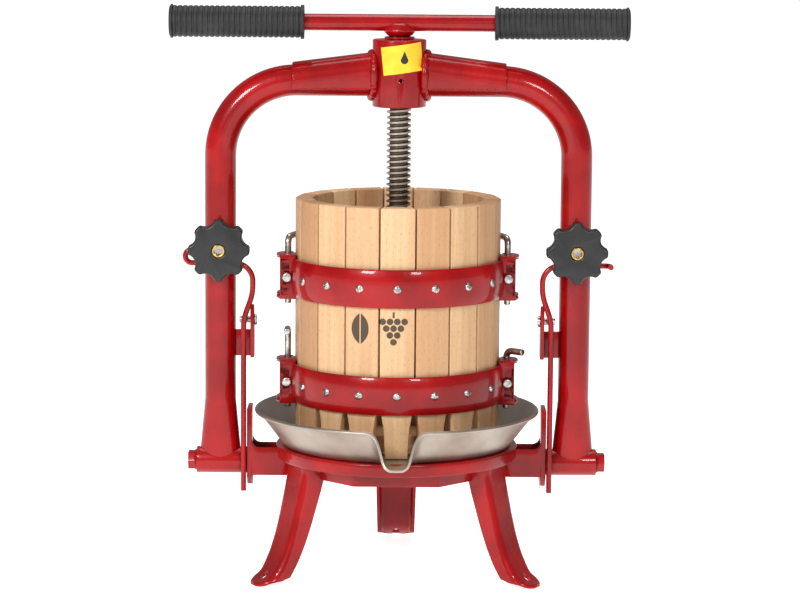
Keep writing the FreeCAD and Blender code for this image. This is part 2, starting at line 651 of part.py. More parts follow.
def stave_outline():
    """Front view of one stave: straight sides, a curved shoulder and a narrower foot."""
    half = STAVE_APOTHEM * math.tan(math.radians(STAVE_STEP / 2)) + 1.0
    visible = half - 1.0 - STAVE_GAP / 2
    foot = visible * STAVE_FOOT_RATIO
    low_z = STAVE_NECK_Z - STAVE_NECK_DROP
    curve = Part.BSplineCurve()
    points = [V(visible, 0, STAVE_NECK_Z), V((visible + foot) / 2, 0, (STAVE_NECK_Z + low_z) / 2 + 3),
              V(foot, 0, low_z)]
    curve.interpolate(Points=points, InitialTangent=V(-0.45, 0, -1), FinalTangent=V(0, 0, -1))
    right_curve = curve.toShape()
    left_curve = mirrored_x(right_curve)
    top_r = V(half, 0, STAVE_TOP_Z)
    top_l = V(-half, 0, STAVE_TOP_Z)
    shoulder_r = V(half, 0, STAVE_NECK_Z)
    shoulder_l = V(-half, 0, STAVE_NECK_Z)
    neck_r = V(visible, 0, STAVE_NECK_Z)
    neck_l = V(-visible, 0, STAVE_NECK_Z)
    low_r = V(foot, 0, low_z)
    low_l = V(-foot, 0, low_z)
    bottom_r = V(foot, 0, STAVE_BOTTOM_Z)
    bottom_l = V(-foot, 0, STAVE_BOTTOM_Z)
    edges = [line(top_l, top_r), line(top_r, shoulder_r), line(shoulder_r, neck_r), right_curve,
             line(low_r, bottom_r), line(bottom_r, bottom_l), line(bottom_l, low_l), left_curve,
             line(neck_l, shoulder_l), line(shoulder_l, top_l)]
    return Part.Face(Part.Wire(Part.__sortEdges__(edges)))


def stave():
    """One stave at the front of the basket, its sides parallel to the gaps beside it."""
    outer_y = -STAVE_APOTHEM
    inner_y = -STAVE_APOTHEM + STAVE_T
    slope = math.tan(math.radians(STAVE_STEP / 2))
    outer_half = STAVE_APOTHEM * slope - STAVE_GAP / 2
    inner_half = (STAVE_APOTHEM - STAVE_T) * slope - STAVE_GAP / 2
    plan = face([V(-outer_half, outer_y, STAVE_BOTTOM_Z), V(outer_half, outer_y, STAVE_BOTTOM_Z),
                 V(inner_half, inner_y, STAVE_BOTTOM_Z), V(-inner_half, inner_y, STAVE_BOTTOM_Z)])
    prism = plan.extrude(V(0, 0, STAVE_TOP_Z - STAVE_BOTTOM_Z))
    outline = stave_outline()
    outline.translate(V(0, outer_y - 1, 0))
    return prism.common(outline.extrude(V(0, STAVE_T + 2, 0)))


def stave_screw(z):
    seat_y = -HOOP_CROWN_R + 0.3
    shank = cylinder_y(STAVE_SCREW_SHANK_R, seat_y, -STAVE_SCREW_TIP_AT, 0, z)
    head = cylinder_y(STAVE_SCREW_HEAD_R, seat_y - STAVE_SCREW_HEAD_T * 0.5, seat_y, 0, z)
    dome = Part.makeCone(STAVE_SCREW_HEAD_R, STAVE_SCREW_HEAD_R * 0.55, STAVE_SCREW_HEAD_T * 0.5,
                         V(0, seat_y - STAVE_SCREW_HEAD_T * 0.5, z), V(0, -1, 0))
    return shank.fuse(head).fuse(dome)


def stave_angles():
    middle = (STAVES_PER_HALF - 1) / 2.0
    return [STAVE_STEP * (k - middle) for k in range(STAVES_PER_HALF)]


def screw_angles():
    """One screw in the middle of each stave, but to one side of the brackets at the ends."""
    angles = stave_angles()
    angles[0] += END_SCREW_SHIFT
    angles[-1] -= END_SCREW_SHIFT
    return angles


def half_stave_screws():
    pair = [stave_screw(z) for z in (UPPER_HOOP_Z, LOWER_HOOP_Z)]
    return Part.makeCompound([turned(s, a) for a in screw_angles() for s in pair])


def half_staves():
    one = stave()
    staves = []
    for stave_angle, screw_angle in zip(stave_angles(), screw_angles()):
        piece = turned(one, stave_angle)
        for z in (UPPER_HOOP_Z, LOWER_HOOP_Z):
            piece = piece.cut(turned(stave_screw(z), screw_angle))
        staves.append(piece)
    return Part.makeCompound(staves)


def hoop_front(z):
    """Crowned steel band around the front half, ending in two flanges for the brackets."""
    half = HOOP_HALF_HEIGHT
    outer = [(HOOP_OUTER_R, -half), (HOOP_CROWN_R - 0.2, -half * 0.5), (HOOP_CROWN_R, 0),
             (HOOP_CROWN_R, half * 0.62), (HOOP_OUTER_R + 0.4, half)]
    inner = [(r - HOOP_SHEET, dz) for r, dz in reversed(outer)]
    band = face([V(r, 0, z + dz) for r, dz in outer + inner])
    flange_y = BRACKET_WEB_Y + BRACKET_SHEET
    end_clear = BRACKET_SHEET + BOLT_HEAD_T + LOOSE_GAP
    end_angle = math.degrees(math.asin((flange_y + end_clear) / HOOP_OUTER_R))
    band.rotate(V(0, 0, 0), Z_AXIS, 180 + end_angle)
    hoop = band.revolve(V(0, 0, 0), Z_AXIS, 180 - 2 * end_angle)
    low = z - FLANGE_HALF_HEIGHT
    high = z + FLANGE_HALF_HEIGHT
    tail_angle = math.degrees(math.asin((flange_y + 1.0) / HOOP_INNER_R))
    tail_face = face([V(HOOP_INNER_R, 0, low), V(HOOP_OUTER_R, 0, low), V(HOOP_OUTER_R, 0, high),
                      V(HOOP_INNER_R, 0, high)])
    tail_face.rotate(V(0, 0, 0), Z_AXIS, -tail_angle - 12)
    tail = tail_face.revolve(V(0, 0, 0), Z_AXIS, 12)
    inner_x = HOOP_INNER_R * math.cos(math.radians(tail_angle))
    flange = box((inner_x, BRACKET_OUT_X), (-flange_y - BRACKET_SHEET, -flange_y), (low, high))
    flange = flange.cut(cylinder_y(BOLT_R, -FAR, 0, BOLT_AT_X, z))
    end = tail.fuse(flange)
    hoop = hoop.fuse(end).fuse(mirrored_x(end))
    for a in screw_angles():
        hoop = hoop.cut(turned(stave_screw(z), a))
    return hoop


def bracket_front(z, half_height):
    """U-shaped hinge bracket at the front right: a web and two ears drilled for the pin."""
    web_y = -BRACKET_WEB_Y - BRACKET_SHEET
    web = box((BRACKET_IN_X, BRACKET_OUT_X), (web_y, web_y + BRACKET_SHEET),
              (z - half_height, z + half_height))
    right = V(PIN_AT_X + EAR_ROUND_R, 0, 0)
    round_mid = V(PIN_AT_X + EAR_ROUND_R * 0.5, EAR_ROUND_R * math.sqrt(0.75), 0)
    round_end = V(PIN_AT_X - EAR_ROUND_R * 0.5, EAR_ROUND_R * math.sqrt(0.75), 0)
    inside = V(EAR_CLEAR_X, -4, 0)
    corner_in = V(BRACKET_IN_X, web_y, 0)
    step_in = V(BRACKET_IN_X, web_y + 4, 0)
    corner_out = V(BRACKET_OUT_X, web_y, 0)
    side_out = V(PIN_AT_X + EAR_ROUND_R, -8, 0)
    plan = Part.Face(Part.Wire([line(corner_in, corner_out), line(corner_out, side_out),
                                line(side_out, right), arc(right, round_mid, round_end),
                                line(round_end, inside), line(inside, step_in),
                                line(step_in, corner_in)]))
    ear = plan.extrude(V(0, 0, BRACKET_SHEET))
    lower = ear.copy()
    lower.translate(V(0, 0, z - half_height))
    upper = ear.copy()
    upper.translate(V(0, 0, z + half_height - BRACKET_SHEET))
    bracket = web.fuse(lower).fuse(upper)
    bracket = bracket.cut(cylinder_z(PIN_R + RUNNING_FIT, 0, FAR, PIN_AT_X, 0))
    return bracket.cut(cylinder_y(BOLT_R, -FAR, 0, BOLT_AT_X, z))


def brackets(z):
    front = bracket_front(z, BRACKET_HALF_HEIGHT)
    rear = mirrored_y(bracket_front(z, BRACKET_HALF_HEIGHT - BRACKET_SHEET - BRACKET_NEST))
    return Part.makeCompound([front, mirrored_x(front), rear, mirrored_x(rear)])


def bracket_bolt(z):
    head_y = -BRACKET_WEB_Y - 2 * BRACKET_SHEET
    nut_y = -BRACKET_WEB_Y
    shank = cylinder_y(BOLT_R, head_y, nut_y + BOLT_NUT_T + 1.0, BOLT_AT_X, z)
    head = cylinder_y(BOLT_HEAD_R, head_y - BOLT_HEAD_T, head_y, BOLT_AT_X, z)
    return shank.fuse(head)


def bracket_nut(z):
    nut_y = -BRACKET_WEB_Y
    nut = hexagon(BOLT_NUT_AF, nut_y, nut_y + BOLT_NUT_T, 0, 0)
    nut.rotate(V(0, 0, 0), Z_AXIS, 90)
    nut.translate(V(BOLT_AT_X, 0, z))
    return nut.cut(cylinder_y(BOLT_R, -FAR, FAR, BOLT_AT_X, z))


def four_ways(shape):
    rear = mirrored_y(shape)
    return [shape, mirrored_x(shape), rear, mirrored_x(rear)]


def bracket_bolts():
    return Part.makeCompound(four_ways(bracket_bolt(UPPER_HOOP_Z)) + four_ways(bracket_bolt(LOWER_HOOP_Z)))


def bracket_nuts():
    return Part.makeCompound(four_ways(bracket_nut(UPPER_HOOP_Z)) + four_ways(bracket_nut(LOWER_HOOP_Z)))


def hinge_pin(side, hoop_z, top_above_hoop, reach, along_x, along_y):
    """Bent pin: straight through the ears, then over to one side as a finger hold."""
    x = side * PIN_AT_X
    bottom = V(x, 0, hoop_z - BRACKET_HALF_HEIGHT - PIN_BELOW_EAR)
    leg_z = hoop_z + top_above_hoop - PIN_R
    size = math.hypot(along_x, along_y)
    way = V(along_x / size, along_y / size, 0)
    k = PIN_BEND_R * math.sqrt(0.5)
    bend_start = V(x, 0, leg_z - PIN_BEND_R)
    bend_mid = bend_start + way * (PIN_BEND_R - k) + V(0, 0, k)
    bend_end = bend_start + way * PIN_BEND_R + V(0, 0, PIN_BEND_R)
    tip = bend_start + way * reach + V(0, 0, PIN_BEND_R)
    return swept_rod([line(bottom, bend_start), arc(bend_start, bend_mid, bend_end),
                      line(bend_end, tip)], PIN_R)


# Tray and press boards --------------------------------------------------------------------

def bowl(grow):
    """Solid truncated cone of the tray's outside (grow = 0) or of its inside (grow < 0)."""
    low = TRAY_UNDER_Z - grow
    rim_z = TRAY_UNDER_Z + TRAY_DEPTH
    return revolved([(0, low), (TRAY_BOTTOM_R + grow, low), (TRAY_RIM_R + grow, rim_z), (0, rim_z)])


def spout_channel(grow, reach):
    """Straight trough of the spout's outside (grow = sheet) or of its inside (grow = 0)."""
    floor = TRAY_FLOOR_Z - grow
    rim_z = TRAY_UNDER_Z + TRAY_DEPTH
    depth = rim_z - TRAY_FLOOR_Z
    right = [(SPOUT_HALF_FLOOR + grow, floor), (SPOUT_HALF_LOW + grow, TRAY_FLOOR_Z + depth * 0.1),
             (SPOUT_HALF_MID + grow, TRAY_FLOOR_Z + depth * 0.45),
             (SPOUT_HALF_HIGH + grow, TRAY_FLOOR_Z + depth * 0.88), (SPOUT_HALF_RIM + grow, rim_z)]
    left = [(-x, z) for x, z in reversed(right)]
    start_y = -TRAY_BOTTOM_R + 12
    section = face([V(x, start_y, z) for x, z in right + left])
    return section.extrude(V(0, -reach - start_y, 0))


def drip_tray():
    rim_z = TRAY_UNDER_Z + TRAY_DEPTH
    lip = face([V(-FAR, -SPOUT_REACH, TRAY_UNDER_Z), V(-FAR, -SPOUT_REACH - 50, TRAY_UNDER_Z),
                V(-FAR, -SPOUT_REACH - 50, rim_z + 1),
                V(-FAR, -SPOUT_REACH + SPOUT_LIP_BACK, rim_z + 1)])
    trough = spout_channel(TRAY_SHEET, SPOUT_REACH).cut(lip.extrude(V(2 * FAR, 0, 0)))
    bead = Part.makeTorus(TRAY_RIM_R, TRAY_BEAD_R, V(0, 0, rim_z - TRAY_BEAD_R), Z_AXIS)
    outside = bowl(0.0).fuse(bead).fuse(trough)
    inside = bowl(-TRAY_SHEET).fuse(spout_channel(0.0, SPOUT_REACH + 5.0))
    mouth = cylinder_z(TRAY_RIM_R - TRAY_SHEET, rim_z - 2.2, rim_z + 1)
    return outside.cut(inside.fuse(mouth))


def press_board():
    radius = STAVE_APOTHEM - STAVE_T - BOARD_SIDE_GAP
    z = TRAY_FLOOR_Z + LOOSE_GAP
    disc = cylinder_z(radius, z, z + BOARD_T)
    return disc.common(box((BOARD_SPLIT / 2, FAR), (-FAR, FAR), (0, FAR)))


def press_block():
    z = TRAY_FLOOR_Z + LOOSE_GAP + BOARD_T
    half_l = BLOCK_LENGTH / 2.0
    half_w = BLOCK_WIDTH / 2.0
    return box((-half_l, half_l), (-half_w, half_w), (z, z + BLOCK_T))


def both(shape):
    return Part.makeCompound([shape, mirrored_x(shape)])


def build():
    pieces = {}
    pieces["base_plate"] = base_plate()
    pieces["base_ring"] = base_ring()
    for name, angle in LEG_ANGLES.items():
        pieces[name] = leg(angle)
    pieces["crossbar_right"] = crossbar()
    pieces["crossbar_left"] = mirrored_x(crossbar())
    pieces["ear_plate_right"] = ear_plate()
    pieces["ear_plate_left"] = mirrored_x(ear_plate())
    pieces["pivot_bolts"] = both(pivot_bolt())
    pieces["pivot_nuts"] = both(pivot_nut())
    pieces["arch_tube_right"] = arch_tube()
    pieces["arch_tube_left"] = mirrored_x(pieces["arch_tube_right"])
    pieces["pivot_sleeve_right"] = pivot_sleeve()
    pieces["pivot_sleeve_left"] = mirrored_x(pivot_sleeve())
    pieces["gusset_right"] = gusset()
    pieces["gusset_left"] = mirrored_x(pieces["gusset_right"])
    pieces["screw_hub"] = screw_hub()
    pieces["screw_nut"] = screw_nut()
    pieces["oil_label"] = oil_label()
    pieces["knob_studs"] = both(knob_stud())
    pieces["upright_tabs"] = both(upright_tab())
    pieces["latch_plate_right"] = latch_plate()
    pieces["latch_plate_left"] = mirrored_x(latch_plate())
    pieces["latch_bolts"] = both(latch_bolt())
    pieces["stay_rod_right"] = stay_rod(1)
    pieces["stay_rod_left"] = stay_rod(-1)
    pieces["press_foot"] = press_foot()
    pieces["spindle"] = spindle()
    pieces["collar_washer"] = collar_washer()
    pieces["handle_bar"] = handle_bar()
    pieces["grip_right"] = grip()
    pieces["grip_left"] = mirrored_x(pieces["grip_right"])
    pieces["knob_right"] = knob()
    pieces["knob_left"] = mirrored_x(pieces["knob_right"])
    pieces["knob_insert_right"] = knob_insert()
    pieces["knob_insert_left"] = mirrored_x(knob_insert())
    pieces["staves_front"] = half_staves()
    pieces["staves_rear"] = mirrored_y(pieces["staves_front"])
    pieces["stave_screws_front"] = half_stave_screws()
    pieces["stave_screws_rear"] = mirrored_y(pieces["stave_screws_front"])
    pieces["hoop_upper_front"] = hoop_front(UPPER_HOOP_Z)
    pieces["hoop_upper_rear"] = mirrored_y(pieces["hoop_upper_front"])
    pieces["hoop_lower_front"] = hoop_front(LOWER_HOOP_Z)
    pieces["hoop_lower_rear"] = mirrored_y(pieces["hoop_lower_front"])
    pieces["brackets_upper"] = brackets(UPPER_HOOP_Z)
    pieces["brackets_lower"] = brackets(LOWER_HOOP_Z)
    pieces["bracket_bolts"] = bracket_bolts()
    pieces["bracket_nuts"] = bracket_nuts()
    pieces["hinge_pin_upper_left"] = hinge_pin(-1, UPPER_HOOP_Z, 37.0, 22.0, 6.2, 21.0)
    pieces["hinge_pin_upper_right"] = hinge_pin(1, UPPER_HOOP_Z, 37.0, 22.0, -6.2, 21.0)
    pieces["hinge_pin_lower_left"] = hinge_pin(-1, LOWER_HOOP_Z, 49.0, 24.0, 0.0, -1.0)
    pieces["hinge_pin_lower_right"] = hinge_pin(1, LOWER_HOOP_Z, 30.0, 19.0, 0.75, -0.65)
    pieces["drip_tray"] = drip_tray()
    pieces["press_board_right"] = press_board()
    pieces["press_board_left"] = mirrored_x(press_board())
    pieces["press_block"] = press_block()
    return pieces


os.makedirs("parts", exist_ok=True)
for node, shape in build().items():
    shape.exportStep("parts/" + node + ".step")
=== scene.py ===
import json
import math
import random

import bpy
from mathutils import Matrix, Vector

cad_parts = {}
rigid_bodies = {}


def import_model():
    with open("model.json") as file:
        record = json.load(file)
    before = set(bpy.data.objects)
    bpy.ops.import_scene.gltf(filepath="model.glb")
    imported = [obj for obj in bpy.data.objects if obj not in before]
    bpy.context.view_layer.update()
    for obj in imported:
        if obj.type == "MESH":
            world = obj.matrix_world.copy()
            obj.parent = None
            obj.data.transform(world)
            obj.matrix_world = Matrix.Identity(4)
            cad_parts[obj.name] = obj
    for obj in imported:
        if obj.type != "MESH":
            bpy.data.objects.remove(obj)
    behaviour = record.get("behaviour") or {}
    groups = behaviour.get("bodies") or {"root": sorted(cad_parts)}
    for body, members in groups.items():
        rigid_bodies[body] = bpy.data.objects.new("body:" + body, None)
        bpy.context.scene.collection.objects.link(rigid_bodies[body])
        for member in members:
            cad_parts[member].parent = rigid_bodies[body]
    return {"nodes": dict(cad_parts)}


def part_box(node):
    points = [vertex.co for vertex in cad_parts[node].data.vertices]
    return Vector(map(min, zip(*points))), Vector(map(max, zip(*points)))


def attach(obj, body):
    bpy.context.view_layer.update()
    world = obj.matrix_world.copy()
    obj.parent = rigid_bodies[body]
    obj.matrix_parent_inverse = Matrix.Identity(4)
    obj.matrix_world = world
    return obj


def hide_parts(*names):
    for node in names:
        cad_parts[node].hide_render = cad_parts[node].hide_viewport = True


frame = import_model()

for stray in [o for o in bpy.data.objects if o.name in ("Cube", "Light", "Camera")]:
    bpy.data.objects.remove(stray)
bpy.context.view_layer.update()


# Studio floor, lamps and camera -------------------------------------------------------------
# A wide sheet of white board lies under the press and runs far behind it. It glows a little, as
# a lit table does. Softboxes stand to the left, to the right and overhead.

class Field:
    """A shader socket that takes part in sums, so wear and grain read as plain arithmetic."""

    def __init__(self, finish, socket):
        self.finish = finish
        self.socket = socket

    def output(self, name):
        return Field(self.finish, self.socket.node.outputs[name])

    def maths(self, operation, first, second=0.0):
        return self.finish.node("ShaderNodeMath", {"operation": operation}, {0: first, 1: second})

    def __add__(self, other):
        return self.maths("ADD", self, other)

    def __radd__(self, other):
        return self.maths("ADD", other, self)

    def __sub__(self, other):
        return self.maths("SUBTRACT", self, other)

    def __rsub__(self, other):
        return self.maths("SUBTRACT", other, self)

    def __mul__(self, other):
        return self.maths("MULTIPLY", self, other)

    def __rmul__(self, other):
        return self.maths("MULTIPLY", other, self)

    def __lt__(self, other):
        return self.maths("LESS_THAN", self, other)

    def __gt__(self, other):
        return self.maths("GREATER_THAN", self, other)

    def __abs__(self):
        return self.maths("ABSOLUTE", self)

    def root(self):
        return self.maths("SQRT", self)

    def most(self, other):
        return self.maths("MAXIMUM", self, other)

    def ease(self, low, high):
        """0 below low and 1 above high, with a smooth step between them."""
        return self.finish.node("ShaderNodeMapRange", {"interpolation_type": "SMOOTHSTEP"},
                                {"Value": self, "From Min": low, "From Max": high})


class Finish:
    """One material, such as enamel or beech, and the nodes that vary it over a piece."""

    def __init__(self, name, constants):
        self.material = bpy.data.materials.new(name)
        self.material.use_nodes = True
        self.tree = self.material.node_tree
        self.shader = self.tree.nodes["Principled BSDF"]
        self.set(constants)

    def node(self, kind, settings=None, values=None):
        made = self.tree.nodes.new(kind)
        for name, value in (settings or {}).items():
            setattr(made, name, value)
        self.fill(made, values or {})
        return Field(self, made.outputs[0])

    def fill(self, node, values):
        for name, value in values.items():
            if isinstance(value, Field):
                self.tree.links.new(value.socket, node.inputs[name])
            else:
                node.inputs[name].default_value = value

    def set(self, values):
        self.fill(self.shader, values)

    def place(self):
        """Where the surface lies on the piece, in metres."""
        return self.node("ShaderNodeTexCoord").output("Object")

    def attribute(self, name, output):
        return self.node("ShaderNodeAttribute", {"attribute_name": name}).output(output)

    def parts(self, vector):
        split = self.node("ShaderNodeSeparateXYZ", {}, {"Vector": vector})
        return split.output("X"), split.output("Y"), split.output("Z")

    def stretched(self, vector, scale):
        return self.node("ShaderNodeMapping", {}, {"Vector": vector, "Scale": scale})

    def noise(self, vector, scale, detail=3.0, rough=0.5):
        return self.node("ShaderNodeTexNoise", {}, {"Vector": vector, "Scale": scale,
                                                    "Detail": detail, "Roughness": rough})

    def mix(self, share, first, second):
        mixed = self.node("ShaderNodeMix", {"data_type": "RGBA"}, {0: share, 6: first, 7: second})
        return Field(self, mixed.socket.node.outputs[2])

    def bump(self, height, distance, strength=1.0):
        return self.node("ShaderNodeBump", {}, {"Height": height, "Distance": distance,
                                                "Strength": strength})


def rgb(red, green, blue):
    """A colour as the eye names it, 0 to 255, turned into light."""
    def light(c):
        c = c / 255.0
        return c / 12.92 if c <= 0.04045 else ((c + 0.055) / 1.055) ** 2.4
    return (light(red), light(green), light(blue), 1.0)


def alone(piece):
    """Makes one piece the only selected and active one."""
    bpy.ops.object.select_all(action="DESELECT")
    piece.select_set(True)
    bpy.context.view_layer.objects.active = piece


def added(name, add, scale=(1.0, 1.0, 1.0), **size):
    """A new primitive, stretched by scale, with its place kept in its mesh."""
    bpy.ops.object.select_all(action="DESELECT")
    add(**size)
    piece = bpy.context.object
    piece.scale = scale
    piece.name = name
    piece.data.name = name
    bpy.ops.object.transform_apply(location=True, rotation=True, scale=True)
    return piece


board = Finish("white_board", {"Roughness": 0.9, "Emission Strength": 0.86, "Specular IOR Level": 0.2})
board_tone = board.noise(board.place(), 1.5)
board.set({"Base Color": board.mix(board_tone, (0.80, 0.80, 0.80, 1), (0.83, 0.83, 0.83, 1)),
           "Emission Color": (1.0, 1.0, 1.0, 1.0)})
floor = added("floor", bpy.ops.mesh.primitive_plane_add, size=60.0, location=(0, 0, -0.0003))
floor.data.materials.append(board.material)

world = bpy.data.worlds.new("studio_air")
world.use_nodes = True
world.node_tree.nodes["Background"].inputs["Color"].default_value = (1.0, 1.0, 1.0, 1.0)
world.node_tree.nodes["Background"].inputs["Strength"].default_value = 0.27
scene = bpy.context.scene
scene.world = world
scene.view_settings.view_transform = "Standard"


def softbox(name, place, size, power):
    light = bpy.data.lights.new(name, "AREA")
    light.shape = "RECTANGLE"
    light.size, light.size_y = size
    light.energy = power
    lamp = bpy.data.objects.new(name, light)
    scene.collection.objects.link(lamp)
    lamp.location = place
    aim = Vector((0.0, 0.0, 0.28)) - Vector(place)
    lamp.rotation_euler = aim.to_track_quat("-Z", "Y").to_euler()


softbox("left_box", (-1.3, -2.0, 1.5), (0.6, 0.6), 47.0)
softbox("right_box", (0.9, -2.4, 1.5), (0.5, 0.5), 22.0)
softbox("top_box", (0.0, 0.4, 2.4), (1.4, 1.4), 26.0)

lens = bpy.data.cameras.new("camera")
lens.sensor_width = 36.0
lens.lens = 138.72
lens.clip_end = 100.0
camera = bpy.data.objects.new("camera", lens)
scene.collection.objects.link(camera)
camera.matrix_world = (Matrix.Translation((0.0022, -2.751, 0.6379))
                       @ Matrix.Rotation(math.pi / 2 - 0.141, 4, "X") @ Matrix.Rotation(0.008, 4, "Z"))
scene.camera = camera


# Stand: plate, ring and legs ----------------------------------------------------------------
# A dished steel plate on an octagonal ring of flat bar, with three legs pressed as channels that
# run out flat into rounded, drilled toes. All of it is welded and sprayed with red enamel.

def shaped(piece, kind, test, work):
    """Picks corners, edges or faces by their place, and works on just those in edit mode."""
    alone(piece)
    mesh = piece.data
    for group in (mesh.vertices, mesh.edges, mesh.polygons):
        group.foreach_set("select", [False] * len(group))
    for part in getattr(mesh, kind):
        if test(part):
            part.select = True
    bpy.context.tool_settings.mesh_select_mode = (kind == "vertices", kind == "edges",
                                                  kind == "polygons")
    bpy.ops.object.mode_set(mode="EDIT")
    work()
    bpy.ops.object.mode_set(mode="OBJECT")


def every(part):
    return True


def applied(piece, kind, **settings):
    alone(piece)
    modifier = piece.modifiers.new(kind.lower(), kind)
    for name, value in settings.items():
        setattr(modifier, name, value)
    bpy.ops.object.modifier_apply(modifier=modifier.name)


def smoothed(piece, degrees=35):
    alone(piece)
    bpy.ops.object.shade_smooth_by_angle(angle=math.radians(degrees))


def fitted(piece, finish, body, slot, *stands_for):
    """Gives a piece its finish and its body, and hides the frame's nodes that it stands for."""
    piece.data.materials.clear()
    piece.data.materials.append(finish.material)
    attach(piece, body)
    if stands_for:
        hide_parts(*stands_for)


def finished_nodes(finish, *nodes):
    """Puts a finish on pieces whose shape in the frame is already right."""
    for name in nodes:
        for holder in frame["nodes"][name].material_slots:
            holder.material = finish.material


def merge_flats():
    bpy.ops.mesh.remove_doubles(threshold=0.000002)
    bpy.ops.mesh.dissolve_limited(angle_limit=math.radians(0.5))


def merge_only():
    bpy.ops.mesh.remove_doubles(threshold=0.000002)


def softened(node, finish, body, slot, edge, angle=42, segments=3, merge=merge_flats, recut=None):
    """The frame's own shape with its cut edges rounded over, as thick paint leaves them."""
    piece = bpy.data.objects.new(node + "_softened", frame["nodes"][node].data.copy())
    scene.collection.objects.link(piece)
    if recut:
        recut(piece.data)
    shaped(piece, "vertices", every, merge)
    applied(piece, "BEVEL", width=edge, segments=segments, limit_method="ANGLE",
            angle_limit=math.radians(angle), use_clamp_overlap=False)
    smoothed(piece)
    fitted(piece, finish, body, slot, node)
    return piece


ENAMEL_RED = rgb(158, 5, 9)
ENAMEL_DEEP = rgb(130, 2, 5)
enamel = Finish("red_enamel", {"Coat Roughness": 0.05, "Coat IOR": 1.5, "Specular IOR Level": 0.15})
enamel_place = enamel.place()
enamel_cloud = enamel.noise(enamel_place, 22.0, 4.0)
enamel_peel = enamel.noise(enamel_place, 420.0, 2.0)
enamel_runs = enamel.noise(enamel.stretched(enamel_place, (60.0, 60.0, 18.0)), 1.0, 2.0)
enamel_specks = enamel.noise(enamel_place, 900.0, 2.0, 0.7).ease(0.70, 0.80)
enamel_tone = enamel.mix(enamel_cloud.ease(0.35, 0.68), ENAMEL_DEEP, ENAMEL_RED)
enamel.set({"Base Color": enamel.mix(enamel_specks * 0.35, enamel_tone, rgb(96, 6, 10)),
            "Roughness": 0.26 + enamel_cloud * 0.12,
            "Coat Weight": 0.34 + enamel_cloud * 0.12,
            "Normal": enamel.bump(enamel_peel * 0.35 + enamel_runs, 0.00045)})

softened("base_plate", enamel, "base", "red_enamel", 0.0012)
softened("base_ring", enamel, "base", "red_enamel", 0.0007)

LEG_FACE = [(0.1030, 0.1140), (0.1033, 0.1020), (0.1055, 0.0900), (0.1090, 0.0750), (0.1130, 0.0580),
            (0.1175, 0.0420), (0.1230, 0.0270), (0.1300, 0.0135), (0.1370, 0.0066), (0.1420, 0.0042),
            (0.1466, 0.0036)]
LEG_SHEET = 0.0028
LEG_CORNER_R = 0.007
LEG_TOP_HALF = 0.020
LEG_DEPTH = 0.020
TOE_HALF = 0.017
TOE_CENTRE_R = 0.130
TOE_HOLE_R = 0.0035
TOE_HOLE_AT = 0.135
leg_lengths = [0.0]
for a, b in zip(LEG_FACE, LEG_FACE[1:]):
    leg_lengths.append(leg_lengths[-1] + math.dist(a, b))


def face_point(share):
    """A point down the middle of the leg's outer face: how far out, and how high."""
    along = min(max(share, 0.0), 1.0) * leg_lengths[-1]
    k = max(i for i in range(len(LEG_FACE) - 1) if leg_lengths[i] <= along + 1e-9)
    t = (along - leg_lengths[k]) / (leg_lengths[k + 1] - leg_lengths[k])
    return Vector(LEG_FACE[k]).lerp(Vector(LEG_FACE[k + 1]), t)


def pressed_channel(across, share):
    """The channel's section: a flat web, round corners and two flanges that die out at the toe."""
    near = 0.03 * min(1.0, share / 0.03, (1 - share) / 0.03)
    face = (face_point(share - near) + face_point(share) * 2 + face_point(share + near)) / 4
    slope = (face_point(share + 0.02) - face_point(share - 0.02)).normalized()
    outward = Vector((-slope.y, slope.x))
    out, up = face
    half = LEG_TOP_HALF + (TOE_HALF - LEG_TOP_HALF) * share
    if out > TOE_CENTRE_R:
        half = math.sqrt(max(TOE_HALF ** 2 - (out - TOE_CENTRE_R) ** 2, 0.002 ** 2))
    depth = LEG_DEPTH - 0.008 * share if up > 0.014 else max(0.0030, 0.0115 * (up - 0.0036) / 0.0104)
    corner = min(LEG_CORNER_R, depth, half * 0.8)
    flat = half - corner
    bend = corner * math.pi / 2
    along = abs(across) * (flat + bend + depth - corner)
    if along < flat:
        side, inward = along, 0.0
    elif along < flat + bend:
        turn = (along - flat) / corner
        side, inward = flat + corner * math.sin(turn), corner * (1 - math.cos(turn))
    else:
        side, inward = half, corner + along - flat - bend
    spot = face - outward * inward
    return Vector((math.copysign(side, across), spot.x, max(spot.y, 0.0002)))


leg = added("leg", bpy.ops.mesh.primitive_grid_add, x_subdivisions=40, y_subdivisions=64, size=2.0)
for corner in leg.data.vertices:
    corner.co = pressed_channel(corner.co.x, (1 - corner.co.y) / 2)
shaped(leg, "polygons", every, lambda: bpy.ops.mesh.normals_make_consistent(inside=False))
if sum(f.normal.y * f.area for f in leg.data.polygons) < 0:
    shaped(leg, "polygons", every, bpy.ops.mesh.flip_normals)
applied(leg, "SOLIDIFY", thickness=LEG_SHEET, offset=-1.0)
toe_drill = added("toe_drill", bpy.ops.mesh.primitive_cylinder_add, vertices=32, radius=TOE_HOLE_R,
                  depth=0.03, location=(0, TOE_HOLE_AT, 0.0))
applied(leg, "BOOLEAN", operation="DIFFERENCE", object=toe_drill, solver="EXACT")
bpy.data.objects.remove(toe_drill)
smoothed(leg, 40)


def copied(model, name, turn):
    """A copy with its own mesh, turned about the screw's axis into its place."""
    piece = bpy.data.objects.new(name, model.data.copy())
    scene.collection.objects.link(piece)
    piece.data.transform(Matrix.Rotation(turn, 4, "Z"))
    return piece


for node, turn in (("leg_rear", 0), ("leg_front_left", 120), ("leg_front_right", 240)):
    fitted(copied(leg, node + "_pressed", math.radians(turn)), enamel, "base", "red_enamel", node)
bpy.data.objects.remove(leg)


# Crossbars, ears and pivot ------------------------------------------------------------------
# A folded channel runs out from the ring on each side and curls up against an upright ear of
# flat bar. A bolt, painted over with the rest, holds the arch's sleeve to each ear.

